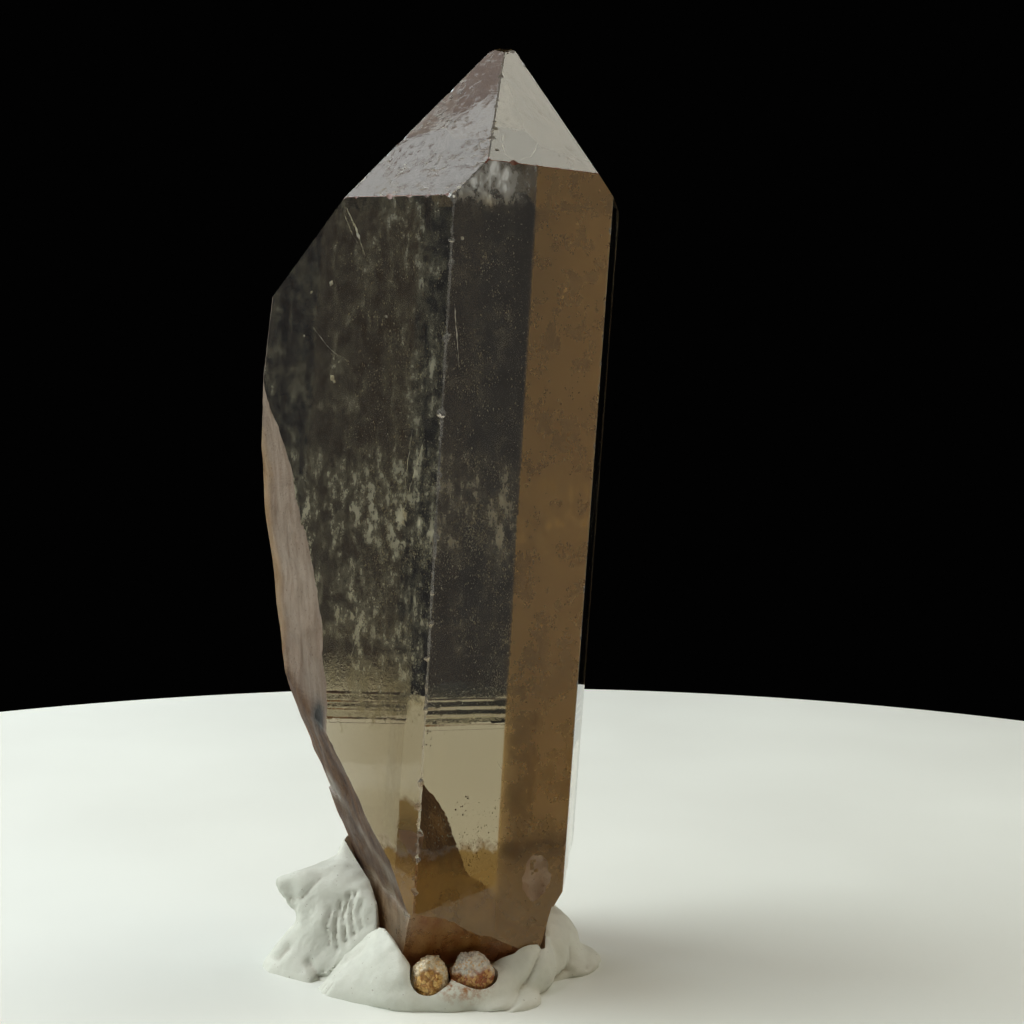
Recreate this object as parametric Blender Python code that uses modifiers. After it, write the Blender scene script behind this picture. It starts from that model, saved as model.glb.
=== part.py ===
"""A smoky quartz crystal point that stands in a pressed lump of white mounting putty.

Units are metres and +Z is up. The side shown in the photograph faces -Y, and the origin is the
centre of the putty's flat underside. The crystal is a block cut by planes, one for each of its
faces: six prism faces and six point faces, at quartz's own angles, each at its own distance from
one point on the crystal's axis. Its broken flank and foot are cut by rough sheets.
"""

import math

import bmesh
import bpy
from mathutils import Euler, Matrix, Vector, noise

MM = 0.001

# The crystal's axis leans to the right, and passes through this point
AXIS_POINT = Vector((0.6, 0.0, 38.0))
LEAN_RIGHT = math.radians(3.2)
LEAN_BACK = math.radians(0.14)
# Azimuths run from the camera side, -Y, towards +X; this one is the front right prism face's
FRONT_RIGHT_AZIMUTH = 25.5
# A point face of quartz leans 38.2 degrees above the prism face below it
POINT_SLOPE = 38.21

# Name: azimuth from the front right face in degrees, its tilt up, its distance from the axis point in mm
PRISM_FACES = {
    "front_right": (-0.1, -0.13, 9.44),
    "right": (58.6, -0.80, 11.25),
    "back_right": (120.0, -0.24, 9.96),
    "back_left": (180.0, 0.32, 7.43),
    "left": (240.0, 4.43, 12.21),
    "front_left": (300.05, 0.04, 8.04),
}
POINT_FACES = {
    "front_right": (0.05, POINT_SLOPE + 0.24, 18.20),
    "right": (58.3, POINT_SLOPE - 1.4, 18.74),
    "back_right": (120.0, POINT_SLOPE, 17.50),
    "back_left": (180.0, POINT_SLOPE, 16.20),
    "left": (239.9, POINT_SLOPE, 14.23),
    "front_left": (300.2, POINT_SLOPE + 0.07, 15.55),
}
# The worn tip: azimuth and tilt of each small facet, and a point on it in mm
TIP_FACETS = [
    (0.0, 90.0, (5.0, 0.0, 63.88)),
    (-90.0, 64.0, (4.1, 0.0, 63.56)),
    (90.0, 50.0, (6.1, 0.0, 63.50)),
    (0.0, 66.0, (5.3, -1.0, 63.70)),
]
FOOT_HEIGHT = 0.4
BLOCK_SIZE = 160.0

# Rough breaks. Each is a sheet: azimuth and tilt of its outward side, a point on it, its width
# and height, how far its middle is hollowed, and how rough it is. Lengths are in mm.
BREAKS = {
    "flank_break": dict(azimuth=-60.0, tilt=-4.9, at=(-9.62, -2.74, 29.7), size=(16.0, 27.0),
                        hollow=0.55, rough=0.16),
    "upper_side_break": dict(azimuth=-94.0, tilt=-1.5, at=(-11.95, 0.8, 38.0), size=(18.0, 15.0),
                             hollow=0.0, rough=0.08),
    "lower_side_break": dict(azimuth=-97.0, tilt=-7.6, at=(-11.28, 0.6, 27.2), size=(18.0, 27.0),
                             hollow=0.0, rough=0.08),
    "flank_step": dict(azimuth=-73.0, tilt=-27.0, at=(-8.15, -2.35, 16.05), size=(24.0, 8.6),
                       hollow=0.10, rough=0.10),
    "lower_left_break": dict(azimuth=-69.5, tilt=-20.0, at=(-7.15, -3.82, 16.54), size=(30.0, 22.0),
                             hollow=0.0, rough=0.14),
    "lower_left_toe": dict(azimuth=-70.0, tilt=-2.0, at=(-3.32, -2.84, 1.40), size=(30.0, 10.0),
                           hollow=0.0, rough=0.12),
    "back_left_break": dict(azimuth=-127.0, tilt=-13.2, at=(-2.0, 7.85, 10.0), size=(26.0, 26.0),
                            hollow=0.0, rough=0.18),
    "right_foot_break": dict(azimuth=87.5, tilt=-30.5, at=(10.82, -2.0, 9.2), size=(30.0, 8.5),
                             hollow=0.0, rough=0.07),
    "right_toe_break": dict(azimuth=90.0, tilt=-17.0, at=(7.22, -2.0, 1.5), size=(30.0, 8.6),
                            hollow=0.0, rough=0.09),
    "front_foot_break": dict(azimuth=10.0, tilt=-30.0, at=(2.68, -8.59, 4.87), size=(26.0, 12.0),
                             hollow=0.0, rough=0.12),
    "foot_break": dict(azimuth=0.0, tilt=-88.0, at=(1.0, 0.0, 1.6), size=(34.0, 34.0),
                       hollow=0.3, rough=0.20),
}
BREAK_CELL = 0.95
BREAK_DEPTH = 14.0
SLIVER = 0.02
# Where the putty reaches the crystal it keeps a gap in mm to its faces and to its rough breaks:
# those above the toe, then those at the toe
SOCKETS = {
    "foot_socket": (0.32, 0.45, ("lower_left_break", "back_left_break", "right_foot_break",
                                 "front_foot_break", "foot_break")),
    "toe_socket": (0.36, 0.50, ("lower_left_toe", "back_left_break", "right_toe_break",
                                "front_foot_break", "foot_break")),
}

# Shell-shaped chips on edges and corners: centre and radii in mm, then a turn about Z in degrees
CHIPS = {
    "shoulder_chip": ((1.95, -10.72, 52.75), (0.62, 0.75, 0.75), 0),
    "right_foot_chip": ((7.65, -7.35, 7.7), (1.9, 1.3, 2.2), 25),
    "front_edge_chip": ((0.78, -10.62, 30.6), (0.42, 0.58, 1.5), 0),
    "front_edge_nick": ((1.50, -10.58, 43.6), (0.34, 0.52, 0.6), 0),
    "lower_edge_nick": ((0.28, -10.62, 17.4), (0.34, 0.52, 0.9), 0),
    "right_edge_nick": ((11.05, -5.60, 21.4), (0.34, 0.50, 1.2), 0),
    "flank_slot": ((-7.55, -4.65, 18.3), (0.34, 0.9, 1.1), 20),
}

# The lump of putty: rounded lobes, each with centre, radii and Euler turn in degrees, in mm
PUTTY_LOBES = {
    "middle": ((0.2, 0.8, 0.2), (9.4, 8.6, 3.0), (0, 0, 0)),
    "left_core": ((-7.2, 0.2, 2.6), (2.3, 3.6, 3.4), (0, 0, 0)),
    "front_roll": ((1.4, -8.0, 0.5), (5.4, 2.6, 1.7), (0, 0, 8)),
    "right_roll": ((6.3, -5.4, 1.3), (2.5, 2.7, 2.3), (0, 0, 0)),
    "front_apron": ((4.9, -8.2, 0.0), (3.0, 2.5, 0.8), (0, 0, -10)),
    "right_lobe": ((7.4, -0.2, 0.6), (3.3, 5.2, 3.4), (0, 6, 0)),
    "right_toe": ((10.0, -0.9, 0.2), (2.1, 3.2, 0.9), (0, 0, -10)),
    "back_lobe": ((0.4, 6.4, 0.9), (6.6, 4.0, 2.9), (0, 0, 6)),
}
# Pinched and folded masses with flatter sides: the corners of each, in mm
PUTTY_FOLDS = {
    "left_block": [(-9.45, -0.8, 6.65), (-7.75, -0.8, 7.0), (-6.4, -0.2, 7.15), (-4.3, 0.6, 7.0),
                   (-5.0, 3.2, 6.9), (-6.9, 4.2, 6.6), (-9.5, 3.2, 5.0), (-9.45, -1.9, 3.1), (-9.7, 2.8, 1.2),
                   (-8.6, -4.5, -0.6), (-5.7, -5.4, -1.0), (-3.2, -5.2, 2.1), (-3.4, -3.7, 5.1),
                   (-4.4, -2.3, 6.1)],
    "left_horn": [(-7.2, 0.4, 6.5), (-6.35, 2.0, 8.45), (-6.0, 3.2, 8.4), (-4.6, 1.0, 7.6), (-4.6, -1.2, 6.2),
                  (-6.9, 3.8, 5.4), (-6.6, -0.8, 6.0), (-4.6, 3.4, 6.0), (-5.0, 2.6, 8.1)],
    "left_nose": [(-11.0, 0.0, 6.0), (-11.05, -0.4, 5.55), (-10.6, -0.8, 4.8), (-9.8, -1.2, 3.8), (-9.0, -0.9, 6.8),
                  (-8.3, -1.8, 4.5), (-10.9, 2.2, 4.9), (-9.7, 2.4, 3.2), (-9.2, 2.4, 5.5)],
    "left_skirt": [(-12.0, -1.6, -0.1), (-11.9, -1.0, 0.3), (-11.0, -1.3, 1.15), (-9.5, -1.7, 3.2),
                   (-11.4, -2.9, -0.3), (-9.8, -4.0, -0.3), (-7.9, -5.2, -0.3), (-7.1, -4.2, 1.5),
                   (-11.8, 2.0, -0.3), (-9.7, 2.5, 1.4)],
    "front_flap": [(-3.1, -5.6, 4.35), (-3.95, -4.7, 3.75), (-5.85, -5.5, 2.1), (-7.85, -5.9, -0.3),
                   (-7.4, -7.1, -0.3), (-5.6, -8.4, -0.3), (-3.4, -9.5, -0.3), (-0.8, -10.1, -0.3),
                   (1.0, -10.4, -0.1), (-1.0, -9.4, 3.0), (-2.1, -8.3, 4.1), (-2.7, -6.9, 4.5),
                   (-1.6, -10.1, 2.3)],
    "front_rise": [(3.0, -10.3, 0.1), (4.8, -9.5, 0.7), (6.3, -8.3, 1.3), (7.6, -7.0, 2.0), (8.15, -5.7, 2.8),
                   (8.3, -4.2, 3.3), (5.3, -7.2, 1.7), (3.5, -9.9, 1.25), (6.3, -4.0, -0.8), (8.1, -3.0, 1.0)],
}
PUTTY_VOXEL = 0.55
PUTTY_SMOOTH_STEPS = 4
PUTTY_KEEP = 0.62
GRAIN_GAP = 0.32

# Iron-stained grains of the old matrix, still fixed to the crystal's foot: centre and radii in mm
GRAINS = {
    "matrix_grain_pale": ((0.26, -8.95, 1.75), (1.32, 1.30, 1.46), 3.0),
    "matrix_grain_rusty": ((3.05, -8.30, 1.80), (1.48, 1.35, 1.48), 8.0),
}
GRAIN_ROUNDS = 3
GRAIN_LUMPS = 0.16

COLOURS = {
    "smoky_quartz": ((0.62, 0.55, 0.42, 1.0), 0.05),
    "white_putty": ((0.78, 0.78, 0.72, 1.0), 0.65),
    "pale_matrix": ((0.72, 0.52, 0.27, 1.0), 0.6),
    "rusty_matrix": ((0.42, 0.20, 0.10, 1.0), 0.7),
}


def clear_scene():
    """Removes what the startup scene holds."""
    for old in list(bpy.data.objects):
        bpy.data.objects.remove(old)


def new_collection(name):
    """A collection linked to the scene."""
    made = bpy.data.collections.new(name)
    bpy.context.scene.collection.children.link(made)
    return made


def new_material(name):
    """A Principled material with the piece's colour and roughness."""
    colour, roughness = COLOURS[name]
    made = bpy.data.materials.new(name)
    made.use_nodes = True
    shader = made.node_tree.nodes["Principled BSDF"]
    shader.inputs["Base Color"].default_value = colour
    shader.inputs["Roughness"].default_value = roughness
    shader.inputs["Metallic"].default_value = 0.0
    return made


def new_object(name, bm, collection, material=None):
    """An object made from a bmesh in mm."""
    bmesh.ops.scale(bm, verts=bm.verts, vec=(MM, MM, MM))
    mesh = bpy.data.meshes.new(name)
    bm.to_mesh(mesh)
    bm.free()
    made = bpy.data.objects.new(name, mesh)
    collection.objects.link(made)
    if material:
        mesh.materials.append(material)
    return made


def as_cutter(obj):
    """Marks a helper that shows only as a wire and is left out of renders."""
    obj.hide_render = True
    obj.display_type = "WIRE"
    return obj


def direction(azimuth, tilt, base=Matrix.Identity(3)):
    """A unit vector: azimuth in degrees from -Y towards +X, tilt in degrees above the horizontal."""
    a = math.radians(azimuth)
    t = math.radians(tilt)
    return base @ Vector((math.sin(a) * math.cos(t), -math.cos(a) * math.cos(t), math.sin(t)))


def crystal_frame():
    """The crystal's own axes as a matrix: its third column is the long axis."""
    up = Vector((math.sin(LEAN_RIGHT), math.sin(LEAN_BACK), 0.0))
    up.z = math.sqrt(1 - up.length_squared)
    right = Vector((0, 1, 0)).cross(up).normalized()
    return Matrix((right, up.cross(right), up)).transposed()


def cut_away(bm, point, normal):
    """Removes what lies on the outward side of a plane and closes the cut with one flat face."""
    parts = bm.verts[:] + bm.edges[:] + bm.faces[:]
    cut = bmesh.ops.bisect_plane(bm, geom=parts, plane_co=point, plane_no=normal, clear_outer=True)
    rim = [e for e in cut["geom_cut"] if isinstance(e, bmesh.types.BMEdge)]
    if rim:
        bmesh.ops.contextual_create(bm, geom=rim)


def crystal_body(grow=0.0):
    """The whole crystal with flat faces, as a bmesh in mm; grow moves every face outward."""
    bm = bmesh.new()
    bmesh.ops.create_cube(bm, size=BLOCK_SIZE)
    axes = crystal_frame()
    for azimuth, tilt, distance in list(PRISM_FACES.values()) + list(POINT_FACES.values()):
        normal = direction(FRONT_RIGHT_AZIMUTH + azimuth, tilt, axes)
        cut_away(bm, AXIS_POINT + normal * (distance + grow), normal)
    for azimuth, tilt, at in TIP_FACETS:
        normal = direction(azimuth, tilt)
        cut_away(bm, Vector(at) + normal * grow, normal)
    cut_away(bm, Vector((0, 0, FOOT_HEIGHT - grow)), Vector((0, 0, -1)))
    return bm


def relief(u, v, half_height, spec, seed):
    """Height of a rough sheet in mm: a shallow hollow, ridges up its length, and lumps."""
    hollow = -spec["hollow"] * (1 - (v / half_height) ** 2)
    ridges = noise.noise(Vector((u * 0.55, v * 0.10, seed)))
    lumps = noise.noise(Vector((u * 0.28, v * 0.28, seed + 7.0)))
    pits = min(0.0, noise.noise(Vector((u * 0.8, v * 0.5, seed + 19.0))) + 0.25)
    return hollow + spec["rough"] * (1.1 * ridges + 1.6 * lumps + 1.5 * pits)


def rough_slab(name, spec, seed, collection):
    """A slab whose inner side is a rough sheet, which breaks the crystal where it passes."""
    width, height = spec["size"]
    bm = bmesh.new()
    bmesh.ops.create_grid(bm, x_segments=round(width / BREAK_CELL),
                          y_segments=round(height / BREAK_CELL), size=0.5)
    for vert in bm.verts:
        u = vert.co.x * width
        v = vert.co.y * height
        vert.co = Vector((u, v, relief(u, v, height / 2, spec, seed)))
    outer = bmesh.ops.extrude_face_region(bm, geom=bm.faces[:])
    for part in outer["geom"]:
        if isinstance(part, bmesh.types.BMVert):
            part.co.z = BREAK_DEPTH
    bmesh.ops.recalc_face_normals(bm, faces=bm.faces)
    outward = direction(spec["azimuth"], spec["tilt"])
    across = Vector((0, 0, 1)).cross(outward).normalized()
    turn = Matrix((across, outward.cross(across), outward)).transposed()
    bmesh.ops.transform(bm, matrix=Matrix.Translation(spec["at"]) @ turn.to_4x4(), verts=bm.verts)
    return as_cutter(new_object(name, bm, collection))


def ellipsoid(bm, centre, radii, turn, rings=10, segments=16):
    """Adds a stretched sphere in mm to a bmesh; turn is Euler angles in degrees."""
    angles = Euler([math.radians(a) for a in turn])
    place = Matrix.LocRotScale(Vector(centre), angles, Vector(radii))
    bmesh.ops.create_uvsphere(bm, u_segments=segments, v_segments=rings, radius=1.0, matrix=place)


def chip(name, centre, radii, turn, collection):
    """A stretched sphere that scoops a shell-shaped chip out of an edge."""
    bm = bmesh.new()
    ellipsoid(bm, centre, radii, (0, 0, turn))
    return as_cutter(new_object(name, bm, collection))


def cut_with(obj, cutter):
    """Takes the cutter's shape out of the object."""
    cut = obj.modifiers.new(cutter.name, "BOOLEAN")
    cut.operation = "DIFFERENCE"
    cut.object = cutter


def weld_slivers(obj):
    """Merges the points that many cuts leave almost on top of each other."""
    merged = obj.modifiers.new("slivers", "WELD")
    merged.merge_threshold = SLIVER * MM


def make_crystal(parts, cutters):
    """The crystal point: flat faces, then its breaks and chips."""
    crystal = new_object("quartz_crystal", crystal_body(), parts, new_material("smoky_quartz"))
    for seed, (name, spec) in enumerate(BREAKS.items()):
        cut_with(crystal, rough_slab(name, spec, seed * 5.1, cutters))
    for name, (centre, radii, turn) in CHIPS.items():
        cut_with(crystal, chip(name, centre, radii, turn, cutters))
    weld_slivers(crystal)
    return crystal


def add_block(bm, points):
    """Adds the flat-sided block that has these corners in mm to a bmesh."""
    corners = [bm.verts.new(point) for point in points]
    made = bmesh.ops.convex_hull(bm, input=corners)
    spare = [part for part in made["geom_interior"] + made["geom_unused"]
             if isinstance(part, bmesh.types.BMVert)]
    bmesh.ops.delete(bm, geom=list(set(spare)), context="VERTS")


def socket_cutter(name, face_gap, break_gap, breaks, cutters):
    """The crystal's foot, a gap larger all round, which presses its own socket in the putty."""
    bm = crystal_body(face_gap)
    for spec in (BREAKS[key] for key in breaks):
        outward = direction(spec["azimuth"], spec["tilt"])
        cut_away(bm, Vector(spec["at"]) + outward * break_gap, outward)
    return as_cutter(new_object(name, bm, cutters))


def make_grain(name, centre, radii, seed, parts, material, toe_socket):
    """A lumpy mineral grain, pushed in and out by noise, flat where it meets the crystal."""
    bm = bmesh.new()
    bmesh.ops.create_icosphere(bm, subdivisions=GRAIN_ROUNDS, radius=1.0)
    for vert in bm.verts:
        lump = noise.noise(vert.co * 1.7 + Vector((seed, 0, 0)))
        facets = noise.cell(vert.co * 2.2 + Vector((0, seed, 0))) - 0.5
        vert.co *= 1 + GRAIN_LUMPS * (lump + 0.35 * facets)
    bmesh.ops.scale(bm, verts=bm.verts, vec=radii)
    bmesh.ops.translate(bm, verts=bm.verts, vec=centre)
    grain = new_object(name, bm, parts, new_material(material))
    cut_with(grain, toe_socket)
    return grain


def grain_socket(name, centre, radii, cutters):
    """A hollow in the putty that clears a grain."""
    bm = bmesh.new()
    grown = [r * (1 + GRAIN_LUMPS * 0.6) + GRAIN_GAP for r in radii]
    ellipsoid(bm, centre, grown, (0, 0, 0), rings=12, segments=20)
    return as_cutter(new_object(name + "_socket", bm, cutters))


def underside_cutter(cutters):
    """A block below the surface that the putty is pressed on, which leaves its underside flat."""
    bm = bmesh.new()
    bmesh.ops.create_cube(bm, size=60.0)
    bmesh.ops.translate(bm, verts=bm.verts, vec=(0, 0, -30.0))
    return as_cutter(new_object("underside", bm, cutters))


def make_putty(parts, cutters, socket_cutters):
    """The lump of putty: lobes grown into one, pressed flat below, with sockets pressed in it."""
    bm = bmesh.new()
    for centre, radii, turn in PUTTY_LOBES.values():
        ellipsoid(bm, centre, radii, turn, rings=20, segments=32)
    for corners in PUTTY_FOLDS.values():
        add_block(bm, corners)
    putty = new_object("mounting_putty", bm, parts, new_material("white_putty"))
    grown = putty.modifiers.new("one_lump", "REMESH")
    grown.mode = "VOXEL"
    grown.voxel_size = PUTTY_VOXEL * MM
    rounded = putty.modifiers.new("rounded", "SMOOTH")
    rounded.iterations = PUTTY_SMOOTH_STEPS
    lighter = putty.modifiers.new("fewer_faces", "DECIMATE")
    lighter.ratio = PUTTY_KEEP
    for cutter in [underside_cutter(cutters)] + socket_cutters:
        cut_with(putty, cutter)
    return putty


def main():
    clear_scene()
    parts = new_collection("quartz_crystal_point")
    cutters = new_collection("cutters")
    make_crystal(parts, cutters)
    sockets = [socket_cutter(name, *spec, cutters) for name, spec in SOCKETS.items()]
    toe_socket = sockets[1]
    for (name, (centre, radii, seed)), material in zip(GRAINS.items(), ("pale_matrix", "rusty_matrix")):
        make_grain(name, centre, radii, seed, parts, material, toe_socket)
        sockets.append(grain_socket(name, centre, radii, cutters))
    make_putty(parts, cutters, sockets)


main()
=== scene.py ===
"""The looks of a smoky quartz point that stands in a pressed lump of white putty.

Lengths here are in mm, and become metres where a mesh is made. +Z is up, the side that the
photograph shows faces -Y, and the origin is the middle of the putty's flat underside.
"""

import math
import random

import bmesh
import bpy
import numpy as np
from mathutils import Euler, Matrix, Quaternion, Vector, noise


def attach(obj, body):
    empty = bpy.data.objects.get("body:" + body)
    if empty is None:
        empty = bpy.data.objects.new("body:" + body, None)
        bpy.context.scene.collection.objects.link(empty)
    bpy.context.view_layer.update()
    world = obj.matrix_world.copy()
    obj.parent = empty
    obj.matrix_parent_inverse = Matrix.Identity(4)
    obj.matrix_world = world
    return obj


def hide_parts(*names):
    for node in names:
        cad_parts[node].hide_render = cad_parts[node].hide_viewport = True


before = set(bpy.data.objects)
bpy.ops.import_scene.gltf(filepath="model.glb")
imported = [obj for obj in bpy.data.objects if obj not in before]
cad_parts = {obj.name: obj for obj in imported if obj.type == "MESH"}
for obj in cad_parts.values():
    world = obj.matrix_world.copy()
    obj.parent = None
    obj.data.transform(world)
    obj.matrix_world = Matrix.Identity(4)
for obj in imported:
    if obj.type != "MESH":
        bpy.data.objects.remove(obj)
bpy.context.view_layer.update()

MM = 0.001

# The camera that took the photograph, fitted to the crystal's edges
CAMERA_PLACE = Vector((5.74, -119.0, 39.8))
CAMERA_DOWN = 3.74
FOCAL_PIXELS = 1700.0
FRAME_PIXELS = 1024.0
SENSOR_WIDTH = 36.0
# The camera's near limit, in metres
NEAREST_SEEN = 0.005

# The pale disc that the specimen stands on
DISC_RADIUS = 109.5
DISC_CENTRE = Vector((0.6, 6.5, 0.0))
DISC_THICKNESS = 7.0
DISC_ROUNDING = 0.8
DISC_SEGMENTS = 256

# Soft lamps: centre, the way they face, width and height, radiance and colour, and for a ceiling
# lamp a turn about Z in degrees
CARDS = {
    "key_softbox": ((-254.8, -29.3, 330), (0, 0, -1), (330, 302.4), 3.3, (1.0, 0.98, 0.93), -15),
    "right_softbox": ((165, 30, 330), (0, 0, -1), (150, 100), 4.2, (1.0, 0.96, 0.82), 0),
    "warm_edge": ((-207.6, 145.4, 330), (0, 0, -1), (330, 60), 1.35, (1.0, 0.80, 0.71), -15),
    "left_softbox": ((-360, 40, 270), (0.8, -0.1, -0.6), (300, 300), 3.6, (0.90, 1.0, 0.98), 0),
    "back_left_softbox": ((-260, 330, 260), (0.5, -0.66, -0.55), (260, 220), 2.8, (0.85, 0.95, 1.0), 0),
    "back_right_softbox": ((270, 220, 270), (-0.6, -0.5, -0.62), (220, 220), 2.0, (0.98, 1.0, 0.98), 0),
    "right_fill": ((300, -120, 260), (-0.72, 0.29, -0.62), (260, 260), 0.85, (1.0, 0.74, 0.42), 0),
    "left_front_wall": ((-330, -330, 60), (0.70, 0.71, 0), (340, 300), 0.28, (1.0, 0.94, 0.80), 0),
    "left_side_wall": ((-460, -60, 60), (0.99, 0.12, 0), (300, 300), 0.20, (1.0, 0.95, 0.90), 0),
    "right_wall": ((330, -260, 60), (-0.78, 0.62, 0), (420, 300), 0.46, (1.0, 0.92, 0.80), 0),
}

# The dark room behind it all
ROOM_COLOUR = (0.0006, 0.0006, 0.0006)

# The crystal's axis leans to the right, and passes through this point
AXIS_POINT = Vector((0.6, 0.0, 38.0))
LEAN_RIGHT = math.radians(3.2)
LEAN_BACK = math.radians(0.14)
FRONT_RIGHT_AZIMUTH = 25.5
POINT_SLOPE = 38.21

# Name: azimuth from the front right face in degrees, its tilt up, its distance from the axis point
PRISM_FACES = {
    "front_right": (-0.1, -0.13, 9.44),
    "right": (58.6, -0.80, 11.25),
    "back_right": (120.0, -0.24, 9.96),
    "back_left": (180.0, 0.32, 7.43),
    "left": (240.0, 4.43, 12.21),
    "front_left": (300.05, 0.04, 8.04),
}
POINT_FACES = {
    "front_right": (0.05, POINT_SLOPE + 0.24, 18.20),
    "right": (58.3, POINT_SLOPE - 1.4, 18.74),
    "back_right": (120.0, POINT_SLOPE, 17.50),
    "back_left": (180.0, POINT_SLOPE, 16.20),
    "left": (239.9, POINT_SLOPE, 14.23),
    "front_left": (300.2, POINT_SLOPE + 0.07, 15.55),
}
# The worn tip: azimuth and tilt of each small facet, and a point on it
TIP_FACETS = [
    (0.0, 90.0, (5.0, 0.0, 63.88)),
    (-90.0, 64.0, (4.1, 0.0, 63.56)),
    (90.0, 50.0, (6.1, 0.0, 63.50)),
    (0.0, 66.0, (5.3, -1.0, 63.70)),
]
FOOT_HEIGHT = 0.4
BLOCK_SIZE = 160.0

# Rough breaks: azimuth and tilt of the outward side, a point on it, its width and height, how
# far its middle is hollowed, and how rough it is
BREAKS = {
    "flank_break": (-60.0, -4.9, (-9.62, -2.74, 29.7), (16.0, 27.0), 0.55, 0.16),
    "upper_side_break": (-94.0, -1.5, (-11.95, 0.8, 38.0), (18.0, 15.0), 0.0, 0.08),
    "lower_side_break": (-97.0, -7.6, (-11.28, 0.6, 27.2), (18.0, 27.0), 0.0, 0.08),
    "flank_step": (-73.0, -27.0, (-8.15, -2.35, 16.05), (24.0, 8.6), 0.10, 0.10),
    "lower_left_break": (-69.5, -20.0, (-7.15, -3.82, 16.54), (30.0, 22.0), 0.0, 0.14),
    "lower_left_toe": (-70.0, -2.0, (-3.32, -2.84, 1.40), (30.0, 10.0), 0.0, 0.12),
    "back_left_break": (-127.0, -13.2, (-2.0, 7.85, 10.0), (26.0, 26.0), 0.0, 0.18),
    "right_foot_break": (87.5, -30.5, (10.82, -2.0, 9.2), (30.0, 8.5), 0.0, 0.07),
    "right_toe_break": (90.0, -17.0, (7.22, -2.0, 1.5), (30.0, 8.6), 0.0, 0.09),
    "front_foot_break": (10.0, -30.0, (2.68, -8.59, 4.87), (26.0, 12.0), 0.0, 0.12),
    "foot_break": (0.0, -88.0, (1.0, 0.0, 1.6), (34.0, 34.0), 0.3, 0.20),
}
BREAK_SEED_STEP = 5.1
BREAK_CELL = 0.32
BREAK_DEPTH = 14.0
# How closely a mesh face of a break faces the same way as the break
BREAK_FACING = 0.5

# Noises added up, for layered(): the frequency and the offset along each axis, the share, and
# for some what is added first and the least and most that the noise may then be
BREAK_NOISE = [
    ((0.55, 0.10, 1), (0, 0, 0), 1.1),
    ((0.28, 0.28, 1), (0, 0, 7.0), 1.6),
    ((0.8, 0.5, 1), (0, 0, 19.0), 1.5, 0.25, -math.inf, 0.0),
    ((2.3, 0.9, 1), (0, 0, 31.0), 0.35),
    ((4.0, 3.1, 1), (0, 0, 43.0), 0.2),
]
WEAR_NOISE = [((0.9, 0.55, 1), (0, 0, 0), 0.9), ((3.0, 3.4, 1), (0, 0, 3.0), 0.35)]
WEAR_BITES = [
    ((0.8, 1.25, 1), (0, 0, 7.0), 1.0, -0.22, 0.0, math.inf),
    ((2.0, 3.1, 1), (0, 0, 11.0), 0.5, -0.30, 0.0, math.inf),
]
CHIP_NOISE = [((0.9, 0.9, 0.9), (0, 0, 0), 1.0), ((2.6, 2.6, 2.6), (0, 0, 0), 0.4)]
GROWTH_NOISE = [((0.35, 0, 0), (0, 0, 4.0), 0.10), ((1.4, 0, 0), (0, 0, 9.0), 0.03)]
VEIL_NOISE = [
    ((1.5, 0.30, 1), (0, 0, 0), 1.0),
    ((0.5, 0.42, 1), (0, 0, 5.0), 1.3),
    ((3.4, 1.1, 1), (0, 0, 9.0), 0.9),
]
CRACK_WIDTH_NOISE = [((0.33, 3.0, 0), (0, 0, 1.0), 1.5, 0.5, 0.1, math.inf)]
CRACK_PATH_NOISE = [((0.21, 5.0, 0), (0, 0, 7.0), 0.07)]
KNEADING_NOISE = [
    ((0.42, 0.42, 0.42), (3.1, 0, 0), 0.16),
    ((1.3, 1.3, 1.3), (0, 8.2, 0), 0.055),
    ((2.6, 2.6, 2.6), (0, 0, 4.4), 0.10, 0.28, -math.inf, 0.0),
]

# Shell-shaped chips on edges and corners: centre and radii, then a turn about Z in degrees
CHIPS = {
    "shoulder_chip": ((1.95, -10.72, 52.75), (0.62, 0.75, 0.75), 0),
    "right_foot_chip": ((7.60, -7.00, 7.70), (1.30, 1.00, 1.95), 25),
    "front_edge_chip": ((0.78, -10.62, 30.6), (0.42, 0.58, 1.5), 0),
    "front_edge_nick": ((1.50, -10.58, 43.6), (0.34, 0.52, 0.6), 0),
    "lower_edge_nick": ((0.28, -10.62, 17.4), (0.34, 0.52, 0.9), 0),
    "right_edge_nick": ((11.05, -5.60, 21.4), (0.34, 0.50, 1.2), 0),
    "flank_slot": ((-7.55, -4.65, 18.3), (0.34, 0.9, 1.1), 20),
}

CHIP_ROUGHNESS = 0.22
CHIP_REACH = 1.3

QUARTZ_IOR = 1.544
SMOKE_COLOUR = (0.51, 0.40, 0.17)
SMOKE_DENSITY = 100.0
VEIL_COLOUR = (0.50, 0.48, 0.37)
GRIT_COLOUR = (0.085, 0.046, 0.024)
BROWN_FLAKE_COLOUR = (0.24, 0.115, 0.04)
FLECK_COLOUR = (0.92, 0.90, 0.84)
FROST_ROUGHNESS = 0.62
FROST_OPACITY = 0.80
LEAST_FROST = 0.01
WHITE = (1.0, 1.0, 1.0)

# How far a mesh face may lie from the flat face or the rough break that it belongs to, and how
# closely it faces the same way
FLAT_TOLERANCE = 0.35
FLAT_FACING = 0.985
BREAK_TOLERANCE = 1.6
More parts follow.
